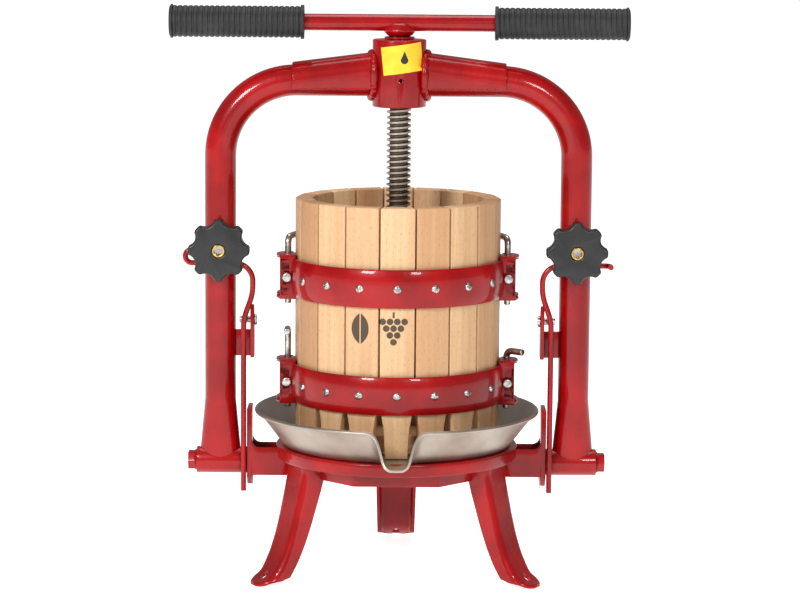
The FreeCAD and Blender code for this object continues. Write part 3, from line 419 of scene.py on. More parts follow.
def galvanised(name, light, dark, rough):
    zinc = Finish(name, {"Metallic": 1.0})
    place = zinc.place()
    spangle = zinc.noise(place, 260.0, 3.0)
    scuff = zinc.noise(zinc.stretched(place, (900.0, 900.0, 160.0)), 1.0, 2.0)
    zinc.set({"Base Color": zinc.mix(spangle.ease(0.3, 0.7), dark, light),
              "Roughness": rough + scuff * 0.18,
              "Normal": zinc.bump(spangle * 0.6 + scuff * 0.4, 0.00012)})
    return zinc


zinc_plate = galvanised("zinc_steel", rgb(205, 203, 198), rgb(150, 147, 142), 0.22)
for side in ("left", "right"):
    softened("crossbar_" + side, enamel, "base", "red_enamel", 0.0010)
    softened("ear_plate_" + side, enamel, "base", "red_enamel", 0.0007)
softened("pivot_bolts", enamel, "base", "red_enamel", 0.0007)
softened("pivot_nuts", zinc_plate, "base", "zinc_steel", 0.0005)


# Arch: bent tubes, sleeves, hub and gussets -------------------------------------------------
# Two bent tubes, flattened and flared where they sit on their pivot sleeves, meet at a turned
# hub that holds the brass nut. Folded gussets cover the joint, and thick weld fillets run
# round the hub's seams and along the gussets' feet under the paint.

finished_nodes(enamel, "arch_tube_left", "arch_tube_right")
for side in ("left", "right"):
    softened("pivot_sleeve_" + side, enamel, "arch", "red_enamel", 0.0009)
    softened("gusset_" + side, enamel, "arch", "red_enamel", 0.0011, 50)
softened("screw_hub", enamel, "arch", "red_enamel", 0.0012, merge=merge_only)
brass = galvanised("nut_brass", rgb(214, 170, 92), rgb(168, 120, 54), 0.25)
finished_nodes(brass, "screw_nut")

weld_hand = random.Random(7)


def weld_bead(name, body, route, count, radius):
    """A hand-laid bead along a route: its width swells and shrinks as each drop was added."""
    drawn = bpy.data.curves.new(name, "CURVE")
    drawn.dimensions = "3D"
    drawn.bevel_depth = radius
    drawn.bevel_resolution = 4
    drawn.use_fill_caps = True
    run = drawn.splines.new("POLY")
    run.points.add(count - 1)
    for k, point in enumerate(run.points):
        spot = route(k / (count - 1.0))
        point.co = (spot[0], spot[1], spot[2], 1.0)
        end = min(1.0, 0.45 + min(k, count - 1 - k) * 0.2)
        point.radius = end * (0.86 + 0.15 * math.sin(k * 1.9) + 0.16 * weld_hand.random())
    bead = bpy.data.objects.new(name, drawn)
    scene.collection.objects.link(bead)
    alone(bead)
    bpy.ops.object.convert(target="MESH")
    bead = bpy.context.object
    shaped(bead, "vertices", every, lambda: bpy.ops.mesh.remove_doubles(threshold=0.00001))
    smoothed(bead, 80)
    fitted(bead, enamel, body, "red_enamel")
    return bead


hub_low, hub_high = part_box("screw_hub")
hub_r = (hub_high.x - hub_low.x) / 2
SEAM_X = 0.0225
SEAM_DROPS, SEAM_R = 74, 0.0036
GUSSET_DROPS, GUSSET_BEAD_R = 60, 0.0011
tube_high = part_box("arch_tube_right")[1]
tube_r = tube_high.y
run_z = tube_high.z - tube_r
gusset_low, gusset_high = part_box("gusset_right")
gusset_half = gusset_high.y
crown_z = gusset_high.z - 0.0012


def hub_seam(side):
    """Down the front edge of the gusset, round under the tube and up the back, on the hub."""
    straight = crown_z - gusset_half

    def spot(t):
        turn = math.radians(-200 + 400 * t)
        if abs(turn) < math.pi / 2:
            y = gusset_half * math.sin(turn)
            z = straight + gusset_half * math.cos(turn)
        else:
            y = tube_r * 1.06 * math.sin(turn)
            z = run_z + tube_r * 1.04 * math.cos(turn)
        return (side * max(math.sqrt(max(hub_r ** 2 - y ** 2, 0)) + 0.0008, SEAM_X), y, z)
    return spot


def straight_run(a, b):
    return lambda t: tuple(p + (q - p) * t for p, q in zip(a, b))


for side, name in ((-1, "left"), (1, "right")):
    weld_bead("hub_weld_" + name, "arch", hub_seam(side), SEAM_DROPS, SEAM_R)
    for row, y in (("front", -gusset_half), ("back", gusset_half)):
        near_end = (side * 0.026, y * 0.97, gusset_low.z + 0.0004)
        far_end = (side * (gusset_high.x - 0.004), y * 0.93, gusset_low.z + 0.0004)
        weld_bead("gusset_weld_%s_%s" % (row, name), "arch", straight_run(near_end, far_end),
                  GUSSET_DROPS, GUSSET_BEAD_R)


# Oil label ----------------------------------------------------------------------------------
# A yellow vinyl label with a plain black drop is stuck over the hub, a little crooked. Its
# lower right corner has lifted.

LABEL_FROM = math.radians(-39)
LABEL_TO = math.radians(56)
LABEL_RISE = math.radians(7.8)
label_z = (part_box("oil_label")[0].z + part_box("oil_label")[1].z) / 2
label_width = hub_r * (LABEL_TO - LABEL_FROM)
label_height = 0.025
label_x = hub_r * (LABEL_TO + LABEL_FROM) / 2


def wrapped(piece, radius):
    """Rolls a flat piece, drawn as wide as its arc, round the hub."""
    for corner in piece.data.vertices:
        x, y, z = corner.co
        turn = x / hub_r
        r = radius + y
        corner.co = (r * math.sin(turn), -r * math.cos(turn), z)


vinyl = Finish("yellow_label", {"Specular IOR Level": 0.5, "Coat Weight": 0.15})
vinyl_place = vinyl.place()
vinyl_fade = vinyl.noise(vinyl_place, 70.0, 3.0)
vinyl.set({"Base Color": vinyl.mix(vinyl_fade.ease(0.3, 0.75), rgb(228, 176, 8), rgb(240, 200, 38)),
           "Roughness": 0.32 + vinyl_fade * 0.2,
           "Normal": vinyl.bump(vinyl.noise(vinyl_place, 160.0, 2.0), 0.0004)})
ink = Finish("label_ink", {"Base Color": rgb(24, 20, 18)})
ink.set({"Roughness": 0.4 + ink.noise(ink.place(), 900.0) * 0.2})

label = added("oil_label_sheet", bpy.ops.mesh.primitive_grid_add, x_subdivisions=36, y_subdivisions=22,
              size=1.0, rotation=(math.pi / 2, 0, 0), scale=(label_width, label_height, 1.0))
for corner in label.data.vertices:
    x, y, z = corner.co
    lift = max(0.0, (x / label_width - z / label_height) - 0.68)
    corner.co = (x, 0.0002 + 0.05 * lift * lift, z)
label.data.transform(Matrix.Translation((label_x, 0, label_z)) @ Matrix.Rotation(-LABEL_RISE, 4, "Y"))
wrapped(label, hub_r)
applied(label, "SOLIDIFY", thickness=0.00012, offset=0.0)
smoothed(label, 60)
fitted(label, vinyl, "arch", "yellow_label", "oil_label")

DROP_R = 0.0034
DROP_POINT = 0.0042
drop = added("oil_label_drop", bpy.ops.mesh.primitive_circle_add, vertices=48, radius=DROP_R,
             fill_type="TRIFAN", rotation=(math.pi / 2, 0, 0))
for corner in drop.data.vertices:
    x, y, z = corner.co
    up = max(z, 0.0) / DROP_R
    corner.co = (x * (1 - 0.55 * up * up), 0.00036, z + DROP_POINT * up ** 3)
drop.data.transform(Matrix.Translation((label_x + 0.001, 0, label_z - 0.001)))
wrapped(drop, hub_r)
fitted(drop, ink, "arch", "yellow_label")


# Stay rods and latch plates -----------------------------------------------------------------
# A bent wire stay runs up beside each upright and hooks behind its clamp knob: its left end
# curls up and back, its right end forward. A tab on the upright carries a latch plate and bolt.

rod_low, rod_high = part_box("stay_rod_right")
ROD_R = 0.0025
ROD_SWAY = 0.0082
ROD_CURL_R = 0.006
ROD_BEND_R = 0.016
ROUND = 0.5523
rod_y = rod_high.y - ROD_R
rod_top_z = rod_high.z - ROD_R
rod_in_x = rod_low.x + ROD_R
rod_out_x = rod_high.x - ROD_R - ROD_CURL_R
UP, OUT, FORWARD, BACK_IN = (0, 0, 1), (1, 0, 0), (0, -1, 0), (-1, 0, 0)
rod_body = [((rod_in_x + ROD_SWAY, rod_y, rod_low.z), UP, 0.01, 0.03),
            ((rod_in_x + ROD_SWAY, rod_y, 0.224), UP, 0.03, 0.016),
            ((rod_in_x, rod_y, 0.262), UP, 0.016, 0.002),
            ((rod_in_x, rod_y, rod_top_z - ROD_BEND_R), UP, 0.002, ROD_BEND_R * ROUND),
            ((rod_in_x + ROD_BEND_R, rod_y, rod_top_z), OUT, ROD_BEND_R * ROUND, 0.01),
            ((rod_out_x, rod_y, rod_top_z), OUT, 0.01, ROD_CURL_R * ROUND)]
curl = ROD_CURL_R * ROUND
rod_ends = {
    "right": [((rod_out_x + ROD_CURL_R, rod_y - ROD_CURL_R, rod_top_z), FORWARD, curl, 0.002),
              ((rod_out_x + ROD_CURL_R, rod_low.y, rod_top_z), FORWARD, 0.002, 0.001)],
    "left": [((rod_out_x + ROD_CURL_R, rod_y, rod_top_z + ROD_CURL_R), UP, curl, curl),
             ((rod_out_x, rod_y, rod_top_z + 2 * ROD_CURL_R), BACK_IN, curl, 0.002),
             ((rod_out_x - 0.005, rod_y, rod_top_z + 2 * ROD_CURL_R), BACK_IN, 0.002, 0.001)]}
for side, mirror in (("left", -1), ("right", 1)):
    wire = bpy.data.curves.new("stay_wire_" + side, "CURVE")
    wire.dimensions = "3D"
    wire.resolution_u = 16
    wire.bevel_depth = ROD_R
    wire.bevel_resolution = 5
    wire.use_fill_caps = True
    knots = rod_body + rod_ends[side]
    run = wire.splines.new("BEZIER")
    run.bezier_points.add(len(knots) - 1)
    for bend, (place, heading, behind, ahead) in zip(run.bezier_points, knots):
        flip = Vector((mirror, 1, 1))
        bend.handle_left_type = bend.handle_right_type = "FREE"
        bend.co = Vector(place) * flip
        bend.handle_left = (Vector(place) - Vector(heading) * behind) * flip
        bend.handle_right = (Vector(place) + Vector(heading) * ahead) * flip
    rod = bpy.data.objects.new("stay_wire_" + side, wire)
    scene.collection.objects.link(rod)
    alone(rod)
    bpy.ops.object.convert(target="MESH")
    rod = bpy.context.object
    shaped(rod, "vertices", every, merge_only)
    smoothed(rod, 60)
    fitted(rod, enamel, "arch", "red_enamel", "stay_rod_" + side)
softened("upright_tabs", enamel, "arch", "red_enamel", 0.0006)
softened("latch_plate_left", enamel, "arch", "red_enamel", 0.0007)
softened("latch_plate_right", enamel, "arch", "red_enamel", 0.0007)
softened("latch_bolts", zinc_plate, "arch", "zinc_steel", 0.0007)


# Clamp knobs --------------------------------------------------------------------------------
# Eight-lobed black moulded knobs with a brass bush pressed into the middle. Each runs on a
# steel stud welded to its upright.

bakelite = Finish("knob_plastic", {"Specular IOR Level": 0.5, "Base Color": rgb(22, 21, 21)})
bakelite_place = bakelite.place()
bakelite_grain = bakelite.noise(bakelite_place, 1500.0, 2.0)
bakelite.set({"Roughness": 0.30 + bakelite.noise(bakelite_place, 90.0) * 0.16,
              "Base Color": bakelite.mix(bakelite_grain.ease(0.4, 0.7), rgb(16, 15, 15), rgb(32, 30, 30)),
              "Normal": bakelite.bump(bakelite_grain, 0.00005)})
bush_brass = galvanised("insert_brass", rgb(224, 186, 112), rgb(180, 136, 66), 0.2)
RECESS_R = 0.0135
RECESS_DEPTH = 0.0032


def level_face(mesh):
    """Brings the shallow dish in the knob's face, and the bush in it, out to a flat front."""
    low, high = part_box("knob_" + side)
    for corner in mesh.vertices:
        away = math.hypot(corner.co.x - (low.x + high.x) / 2, corner.co.z - (low.z + high.z) / 2)
        if away < RECESS_R and corner.co.y < low.y + RECESS_DEPTH:
            corner.co.y = low.y


for side in ("left", "right"):
    softened("knob_" + side, bakelite, side + "_knob", "knob_plastic", 0.0019, 35, 4, recut=level_face)
    softened("knob_insert_" + side, bush_brass, side + "_knob", "insert_brass", 0.0004, recut=level_face)
finished_nodes(zinc_plate, "knob_studs")


# Screw, foot and handle ---------------------------------------------------------------------
# A trapezoidal-thread steel screw, with painted shade darkening it between its threads, is welded
# under a round red bar. Ribbed rubber grips are pushed over both ends of the bar.

screw_steel = Finish("screw_steel", {"Metallic": 1.0})
screw_place = screw_steel.place()
sx, sy = screw_steel.parts(screw_place)[:2]
screw_r = (sx * sx + sy * sy).root()
# Painted shade: the steel is coloured darker towards the thread roots and lighter on the crests.
painted_root_shade_falloff = screw_r.ease(0.0084, 0.0108)
screw_smear = screw_steel.noise(screw_steel.stretched(screw_place, (150.0, 150.0, 700.0)), 1.0, 4.0)
screw_steel.set({"Base Color": screw_steel.mix(painted_root_shade_falloff * (0.55 + screw_smear * 0.6), rgb(92, 80, 68),
                                               rgb(190, 180, 165)),
                 "Roughness": 0.46 - painted_root_shade_falloff * 0.16 + screw_smear * 0.14,
                 "Normal": screw_steel.bump(screw_smear, 0.00012)})
finished_nodes(screw_steel, "spindle")
softened("press_foot", enamel, "foot", "red_enamel", 0.0010)
softened("collar_washer", enamel, "screw", "red_enamel", 0.0004)
softened("handle_bar", enamel, "screw", "red_enamel", 0.0009)

bar_low, bar_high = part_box("handle_bar")
bar_z = (bar_low.z + bar_high.z) / 2
bar_r = bar_high.y
neck_foot_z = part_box("collar_washer")[1].z
neck_height = bar_z - bar_r - neck_foot_z
NECK_FOOT_R = 0.0104
NECK_TOP_R = 0.0148
neck = added("neck_weld", bpy.ops.mesh.primitive_cone_add, vertices=14, radius1=NECK_FOOT_R,
             radius2=NECK_TOP_R, depth=neck_height, end_fill_type="NGON",
             location=(0, 0, neck_foot_z + neck_height / 2))
shaped(neck, "polygons", lambda f: abs(f.normal.z) < 0.9, lambda: bpy.ops.mesh.subdivide(number_cuts=1))
neck_top_z = neck_foot_z + neck_height
for rise, share in ((0.0015, 0.985), (0.0030, 0.86), (0.0036, 0.80)):
    neck_top_z += rise
    shaped(neck, "polygons", lambda f: f.normal.z > 0.9,
           lambda: (bpy.ops.mesh.extrude_region_move(),
                    bpy.ops.transform.translate(value=(0, 0, rise)),
                    bpy.ops.transform.resize(value=(share, share, 1.0),
                                             center_override=(0, 0, neck_top_z))))
shaped(neck, "vertices", lambda v: v.co.z > neck_foot_z + 0.001,
       lambda: bpy.ops.transform.vertex_random(offset=0.0004, uniform=1.0, normal=0.5, seed=5))
applied(neck, "SUBSURF", levels=3, render_levels=3)
smoothed(neck, 80)
fitted(neck, enamel, "screw", "red_enamel")

rubber = Finish("grip_rubber", {"Specular IOR Level": 0.4})
rubber_place = rubber.place()
rubber_dust = rubber.noise(rubber_place, 60.0, 4.0)
rubber_grain = rubber.noise(rubber_place, 1400.0, 2.0)
rubber.set({"Base Color": rubber.mix(rubber_dust.ease(0.45, 0.8), rgb(26, 26, 27), rgb(44, 43, 43)),
            "Roughness": 0.48 + rubber_dust * 0.2,
            "Normal": rubber.bump(rubber_grain, 0.00008)})
softened("grip_left", rubber, "screw", "grip_rubber", 0.0004, 30, 2)
softened("grip_right", rubber, "screw", "grip_rubber", 0.0004, 30, 2)


# Drip tray ----------------------------------------------------------------------------------
# A spun stainless bowl with a rolled rim. The front of its wall is pressed out and down into a
# round-bottomed spout.

TRAY_POINTS = 480
TRAY_SHEET = 0.0012
ROLL_R = 0.0015
WALL_OVERHANG = 0.0260
tray_low, tray_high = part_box("drip_tray")
tray_rim_r = tray_high.x - 0.0020
tray_floor_r = tray_rim_r - WALL_OVERHANG
tray_rim_z = tray_high.z - 0.0007
lip_y = tray_low.y + 0.0013
WALL_STEPS = [(0.0015, 0.0002), (0.0028, 0.0010), (0.0036, 0.0023)]
wall_run = tray_rim_r - tray_floor_r - WALL_STEPS[-1][0]
wall_rise = tray_rim_z - tray_low.z - WALL_STEPS[-1][1]
WALL_STEPS += [(0.0036 + wall_run * k / 14.0, 0.0023 + wall_rise * k / 14.0) for k in range(1, 15)]

tray = added("drip_tray_bowl", bpy.ops.mesh.primitive_circle_add, vertices=TRAY_POINTS,
             radius=tray_floor_r, fill_type="NOTHING", location=(0, 0, tray_low.z))


def raise_wall():
    radius, height = tray_floor_r, 0.0
    for out, up in WALL_STEPS:
        share = (tray_floor_r + out) / radius
        bpy.ops.mesh.extrude_region_move(TRANSFORM_OT_translate={"value": (0, 0, up - height)})
        bpy.ops.transform.resize(value=(share, share, 1.0), center_override=(0, 0, 0))
        radius, height = tray_floor_r + out, up


shaped(tray, "edges", every, raise_wall)
shaped(tray, "vertices", lambda v: math.hypot(v.co.x, v.co.y) < tray_floor_r + 0.0001,
       bpy.ops.mesh.edge_face_add)

LIP = [(0.0, 0.0), (0.0055, 0.0002), (0.0096, 0.0022), (0.0120, 0.0066), (0.0138, 0.0136), (0.0158, 0.0205),
       (0.0185, 0.0262), (0.0222, 0.0298), (0.0268, 0.0308)]
lip_lengths = [0.0]
for a, b in zip(LIP, LIP[1:]):
    lip_lengths.append(lip_lengths[-1] + math.dist(a, b))
lip_turn = math.asin(LIP[-1][0] / tray_rim_r)
lip_rise = tray_rim_z - tray_low.z - 0.0007


def lip_spot(share):
    """A point of the pressed lip, from the spout's lowest point (0) to the plain rim (1)."""
    along = share * lip_lengths[-1]
    k = max(i for i in range(len(LIP) - 1) if lip_lengths[i] <= along + 1e-9)
    t = (along - lip_lengths[k]) / (lip_lengths[k + 1] - lip_lengths[k])
    x, up = (LIP[k][i] + (LIP[k + 1][i] - LIP[k][i]) * t for i in (0, 1))
    height = up / LIP[-1][1]
    end_y = -math.sqrt(tray_rim_r ** 2 - LIP[-1][0] ** 2)
    return Vector((x, lip_y + (end_y - lip_y) * height, tray_low.z + 0.0007 + lip_rise * height))


def pressed(corner):
    """Moves a point of the wall with the lip that was pressed out above it."""
    turn = math.atan2(corner.x, -corner.y)
    share = abs(turn) / lip_turn
    if share >= 1.0:
        return corner
    spot = lip_spot(share)
    spot.x = math.copysign(spot.x, corner.x)
    rim = Vector((tray_rim_r * math.sin(turn), -tray_rim_r * math.cos(turn), tray_rim_z))
    height = max(0.0, math.hypot(corner.x, corner.y) - tray_floor_r) / (tray_rim_r - tray_floor_r)
    return corner + (spot - rim) * height


for corner in tray.data.vertices:
    if math.hypot(corner.co.x, corner.co.y) > tray_floor_r + 0.0001:
        corner.co = pressed(corner.co.copy())
shaped(tray, "polygons", every, lambda: bpy.ops.mesh.normals_make_consistent(inside=False))
if sum(f.normal.z * f.area for f in tray.data.polygons) > 0:
    shaped(tray, "polygons", every, bpy.ops.mesh.flip_normals)
applied(tray, "SOLIDIFY", thickness=TRAY_SHEET, offset=-1.0)
smoothed(tray, 50)

stainless = Finish("stainless", {"Metallic": 1.0})
steel_place = stainless.place()
tx, ty, tz = stainless.parts(steel_place)
steel_r = (tx * tx + ty * ty).root()
steel_ring = stainless.node("ShaderNodeCombineXYZ", {}, {"X": steel_r * 1500.0, "Y": tz * 900.0})
steel_lathe = stainless.noise(steel_ring, 1.0, 2.0)
steel_cloud = stainless.noise(steel_place, 26.0, 4.0)
steel_tone = stainless.mix(steel_cloud.ease(0.3, 0.7), rgb(160, 150, 138), rgb(184, 174, 162))
stainless.set({"Base Color": steel_tone,
               "Roughness": 0.37 + steel_cloud * 0.10 + steel_lathe * 0.06,
               "Normal": stainless.bump(steel_lathe, 0.00003)})
fitted(tray, stainless, "tray", "stainless", "drip_tray")

roll = bpy.data.curves.new("drip_tray_rim", "CURVE")
roll.dimensions = "3D"
roll.bevel_depth = ROLL_R
roll.bevel_resolution = 4
roll_run = roll.splines.new("POLY")
roll_run.points.add(TRAY_POINTS - 1)
roll_run.use_cyclic_u = True
for k, point in enumerate(roll_run.points):
    turn = 2 * math.pi * k / TRAY_POINTS - math.pi
    rim = Vector((tray_rim_r * math.sin(turn), -tray_rim_r * math.cos(turn), tray_rim_z))
    spot = pressed(rim)
    share = min(1.0, abs(turn) / lip_turn)
    thin = 0.5 + 0.5 * max(0.0, (share - 0.7) / 0.3) ** 2
    out = Vector((rim.x, rim.y, 0)).normalized() * 0.0004 * share
    point.co = (spot.x + out.x, spot.y + out.y + 0.0005 * (1 - share), spot.z - 0.0009 * share, 1.0)
    point.radius = thin
roll_piece = bpy.data.objects.new("drip_tray_rim", roll)
scene.collection.objects.link(roll_piece)
alone(roll_piece)
bpy.ops.object.convert(target="MESH")
roll_piece = bpy.context.object
smoothed(roll_piece, 60)
fitted(roll_piece, stainless, "tray", "stainless")


# Staves -------------------------------------------------------------------------------------
# Eighteen planed beech staves with eased edges and narrowed feet. Each was cut from a different
# plank, so tone and grain differ. A stencilled leaf and grapes mark two of the front ones.

def beech_finish(name, stencil):
    beech = Finish(name, {"Specular IOR Level": 0.35})
    grain_place = beech.attribute("plank", "Vector")
    tone = beech.attribute("tone", "Fac")
    broad = beech.noise(beech.stretched(grain_place, (70.0, 70.0, 5.0)), 1.0, 4.0, 0.6)
    fine = beech.noise(beech.stretched(grain_place, (1100.0, 1100.0, 26.0)), 1.0, 3.0, 0.6)
    fleck = beech.noise(beech.stretched(grain_place, (1500.0, 900.0, 260.0)), 1.0, 1.0).ease(0.62, 0.72)
    rings = beech.node("ShaderNodeTexWave", {"wave_type": "BANDS", "bands_direction": "X"},
                       {"Vector": beech.stretched(grain_place, (1.0, 0.35, 0.06)), "Scale": 45.0,
                        "Distortion": 5.0, "Detail": 3.0, "Detail Scale": 0.8})
    base = beech.mix(tone, rgb(180, 134, 94), rgb(218, 182, 140))
    base = beech.mix(broad.ease(0.35, 0.75) * 0.45, base, rgb(176, 126, 84))
    base = beech.mix(rings * fine.ease(0.3, 0.8) * 0.30, base, rgb(160, 110, 72))
    base = beech.mix(fleck * 0.40, base, rgb(132, 84, 52))
    if stencil:
        base = beech.mix(stencil(beech) * (0.80 + fine * 0.2), base, rgb(34, 28, 26))
    beech.set({"Base Color": base, "Roughness": 0.46 + fine * 0.18,
               "Normal": beech.bump(fine * 0.6 + broad * 0.5 - fleck * 0.5, 0.00022)})
    return beech


GRAPES = [(-9.6, 7.0), (-3.2, 7.0), (3.2, 7.0), (9.6, 7.0), (-6.4, 1.0), (0.0, 1.0), (6.4, 1.0),
          (-3.2, -5.0), (3.2, -5.0), (0.0, -11.0)]
GRAPES_AT = (-3.2, 234.0)
LEAF_AT = (-32.5, 234.0)
LEAF_ARC, LEAF_OFFSET = 16.8, 9.3


def stencil_marks(beech):
    """1 where the stencil let the ink through, on the staves' outer faces."""
    x, y, z = beech.parts(beech.place())
    x = x * 1000.0
    z = z * 1000.0

    def disc(cx, cz, radius):
        dx = x - cx
        dz = z - cz
        away = (dx * dx + dz * dz).root()
        return 1 - away.ease(radius - 0.25, radius + 0.25)

    marks = disc(GRAPES_AT[0] + GRAPES[0][0], GRAPES_AT[1] + GRAPES[0][1], 2.95)
    for gx, gz in GRAPES[1:]:
        marks = marks.most(disc(GRAPES_AT[0] + gx, GRAPES_AT[1] + gz, 2.95))
    stem = (abs(x - GRAPES_AT[0]) < 0.9) * (abs(z - (GRAPES_AT[1] + 12.8)) < 2.6)
    leaf = (disc(LEAF_AT[0] + LEAF_OFFSET, LEAF_AT[1], LEAF_ARC)
            * disc(LEAF_AT[0] - LEAF_OFFSET, LEAF_AT[1], LEAF_ARC))
    vein = abs(x - LEAF_AT[0]) > 0.55
    return marks.most(stem).most(leaf * vein) * (y < -0.078)


beech = beech_finish("beech", None)
marked_beech = beech_finish("beech_marked", stencil_marks)

stave_low, stave_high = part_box("staves_front")
STAVE_STEP = math.radians(20)
APOTHEM = -stave_low.y
STAVE_T = 0.015
STAVE_HALF_GAP = 0.0007
STAVE_EDGE = 0.0011
OUTER_HALF = APOTHEM * math.tan(STAVE_STEP / 2) - STAVE_HALF_GAP
INNER_HALF = (APOTHEM - STAVE_T) * math.tan(STAVE_STEP / 2) - STAVE_HALF_GAP
stave_height = stave_high.z - stave_low.z
FOOT_WIDTHS = [(0.0, 0.66), (0.0218, 0.725), (0.028, 0.764), (0.0388, 0.89), (0.0472, 1.0)]


def foot_width(up):
    """How wide a stave is at a height above its foot, as a share of its full width."""
    for (low, narrow), (high, wide) in zip(FOOT_WIDTHS, FOOT_WIDTHS[1:]):
        if up <= high:
            return narrow + (wide - narrow) * (up - low) / (high - low)
    return 1.0



stave = added("stave", bpy.ops.mesh.primitive_cube_add, size=1.0,
              location=(0, -APOTHEM + STAVE_T / 2, stave_low.z + stave_height / 2),
              scale=(2 * OUTER_HALF, STAVE_T, stave_height))
shaped(stave, "vertices", lambda v: v.co.y > -APOTHEM + STAVE_T / 2,
       lambda: bpy.ops.transform.resize(value=(INNER_HALF / OUTER_HALF, 1, 1), center_override=(0, 0, 0)))
cut_levels = [stave_low.z + FOOT_WIDTHS[-1][0] * k / 12.0 for k in range(1, 13)]
for level in cut_levels + [stave_low.z + stave_height * 0.45, stave_low.z + stave_height * 0.75]:
    shaped(stave, "polygons", every,
           lambda: bpy.ops.mesh.bisect(plane_co=(0, 0, level), plane_no=(0, 0, 1)))
for corner in stave.data.vertices:
    up = corner.co.z - stave_low.z
    corner.co.x *= (foot_width(up - 0.002) + foot_width(up + 0.002)) / 2 if up > 0.002 else foot_width(up)
applied(stave, "BEVEL", width=STAVE_EDGE, segments=3, limit_method="ANGLE", angle_limit=math.radians(50),
        use_clamp_overlap=False)
smoothed(stave, 40)

planks = random.Random(15)


def cut_from_plank(piece, source, tone):
    """Records where in its plank each point of the stave lay, and how pale the plank was."""
    shift = Vector((planks.uniform(-4, 4), planks.uniform(-4, 4), planks.uniform(-4, 4)))
    plank = piece.data.attributes.new("plank", "FLOAT_VECTOR", "POINT")
    for k, corner in enumerate(source.data.vertices):
        plank.data[k].vector = corner.co + shift
    tones = piece.data.attributes.new("tone", "FLOAT", "POINT")
    tones.data.foreach_set("value", [tone] * len(source.data.vertices))


TONES = [0.35, 0.10, 0.75, 0.55, 0.80, 0.30, 0.85, 0.45, 0.15]
for row, half_turn in (("front", 0.0), ("rear", math.pi)):
    for k in range(9):
        turn = half_turn + STAVE_STEP * (k - 4)
        piece = copied(stave, "stave_%s_%d" % (row, k + 1), turn)
        cut_from_plank(piece, stave, TONES[k] + planks.uniform(-0.08, 0.08))
        marked = row == "front" and k in (3, 4)
        stands_for = ("staves_" + row,) if k == 0 else ()
        fitted(piece, marked_beech if marked else beech, "basket", "beech", *stands_for)
bpy.data.objects.remove(stave)


# Press boards and block ---------------------------------------------------------------------
# Two half-round boards and a block of the same wood lie in the basket on the crushed fruit.

press_wood = Finish("press_wood", {"Specular IOR Level": 0.35})
board_place = press_wood.place()
board_grain = press_wood.noise(press_wood.stretched(board_place, (12.0, 300.0, 300.0)), 1.0, 4.0)
board_wood = press_wood.mix(board_grain.ease(0.3, 0.7), rgb(176, 132, 92), rgb(206, 166, 122))
press_wood.set({"Base Color": board_wood,
                "Roughness": 0.5 + board_grain * 0.15, "Normal": press_wood.bump(board_grain, 0.0003)})
for node in ("press_board_left", "press_board_right", "press_block"):
    softened(node, press_wood, "tray", "press_wood", 0.0015)


# Hoops --------------------------------------------------------------------------------------
# Crowned steel bands, rolled round each half of the basket. Their ends turn outward in a tight
# bend and finish as flat flanges for the bracket bolts.

band_low, band_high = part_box("hoop_upper_front")
BAND_T = 0.002
BAND_MID_R = APOTHEM / math.cos(STAVE_STEP / 2) + 0.0004 + BAND_T / 2
BAND_CROWN = -band_low.y - BAND_MID_R - BAND_T / 2
BAND_HALF = (band_high.z - band_low.z) / 2
FLANGE_Y = -band_high.y - BAND_T / 2 if band_high.y < 0 else -0.0193
FLANGE_END_X = band_high.x
BEND_R = 0.0042
bend_at = math.acos((BEND_R - FLANGE_Y) / (BAND_MID_R + BEND_R))


def band_half(name, z):
    """The right half of one band, from the middle of the front to the end of its flange."""
    band = added(name, bpy.ops.mesh.primitive_plane_add, size=2 * BAND_HALF,
                 rotation=(math.pi / 2, 0, 0), location=(BAND_HALF, -BAND_MID_R, z))
    shaped(band, "vertices", lambda v: v.co.x > BAND_HALF, lambda: bpy.ops.mesh.delete(type="VERT"))
    shaped(band, "edges", every, lambda: bpy.ops.mesh.subdivide(number_cuts=13))
    for corner in band.data.vertices:
        height = (corner.co.z - z) / BAND_HALF
        corner.co.y -= BAND_CROWN * (1 - abs(height) ** 3.2)
    shaped(band, "vertices", every,
           lambda: bpy.ops.mesh.spin(steps=54, angle=bend_at, center=(0, 0, z), axis=(0, 0, 1)))
    if max(v.co.x for v in band.data.vertices) < 0.01:
        band.data.transform(Matrix.Scale(-1, 4, (1, 0, 0)))
    edge_turn = bend_at - 0.002
    last = [v.index for v in band.data.vertices if math.atan2(v.co.x, -v.co.y) > edge_turn]
    hinge = (BAND_MID_R + BEND_R)
    centre = Vector((hinge * math.sin(bend_at), -hinge * math.cos(bend_at), 0))
    steps = 9
    starts = [band.data.vertices[i].co.copy() for i in last]
    for s in range(steps):
        shaped(band, "vertices", lambda v: v.index in last, bpy.ops.mesh.extrude_region_move)
        count = len(band.data.vertices)
        fresh = list(range(count - len(last), count))
        turn = -bend_at * (s + 1) / steps
        for i, start in zip(fresh, starts):
            flat = Vector((start.x, start.y, 0)).normalized() * BAND_MID_R
            crown = Vector((start.x, start.y, 0)).length - BAND_MID_R
            spin = Matrix.Rotation(turn, 4, "Z")
            arm = flat.normalized() * (crown * (1 - (s + 1) / steps))
            spot = centre + spin @ (flat + arm - centre)
            band.data.vertices[i].co = (spot.x, spot.y, start.z)
        last = fresh
    reach = max(v.co.x for v in band.data.vertices)
    shaped(band, "vertices", lambda v: v.index in last,
           lambda: (bpy.ops.mesh.extrude_region_move(),
                    bpy.ops.transform.translate(value=(FLANGE_END_X - reach - 0.0002, 0, 0))))
    return band


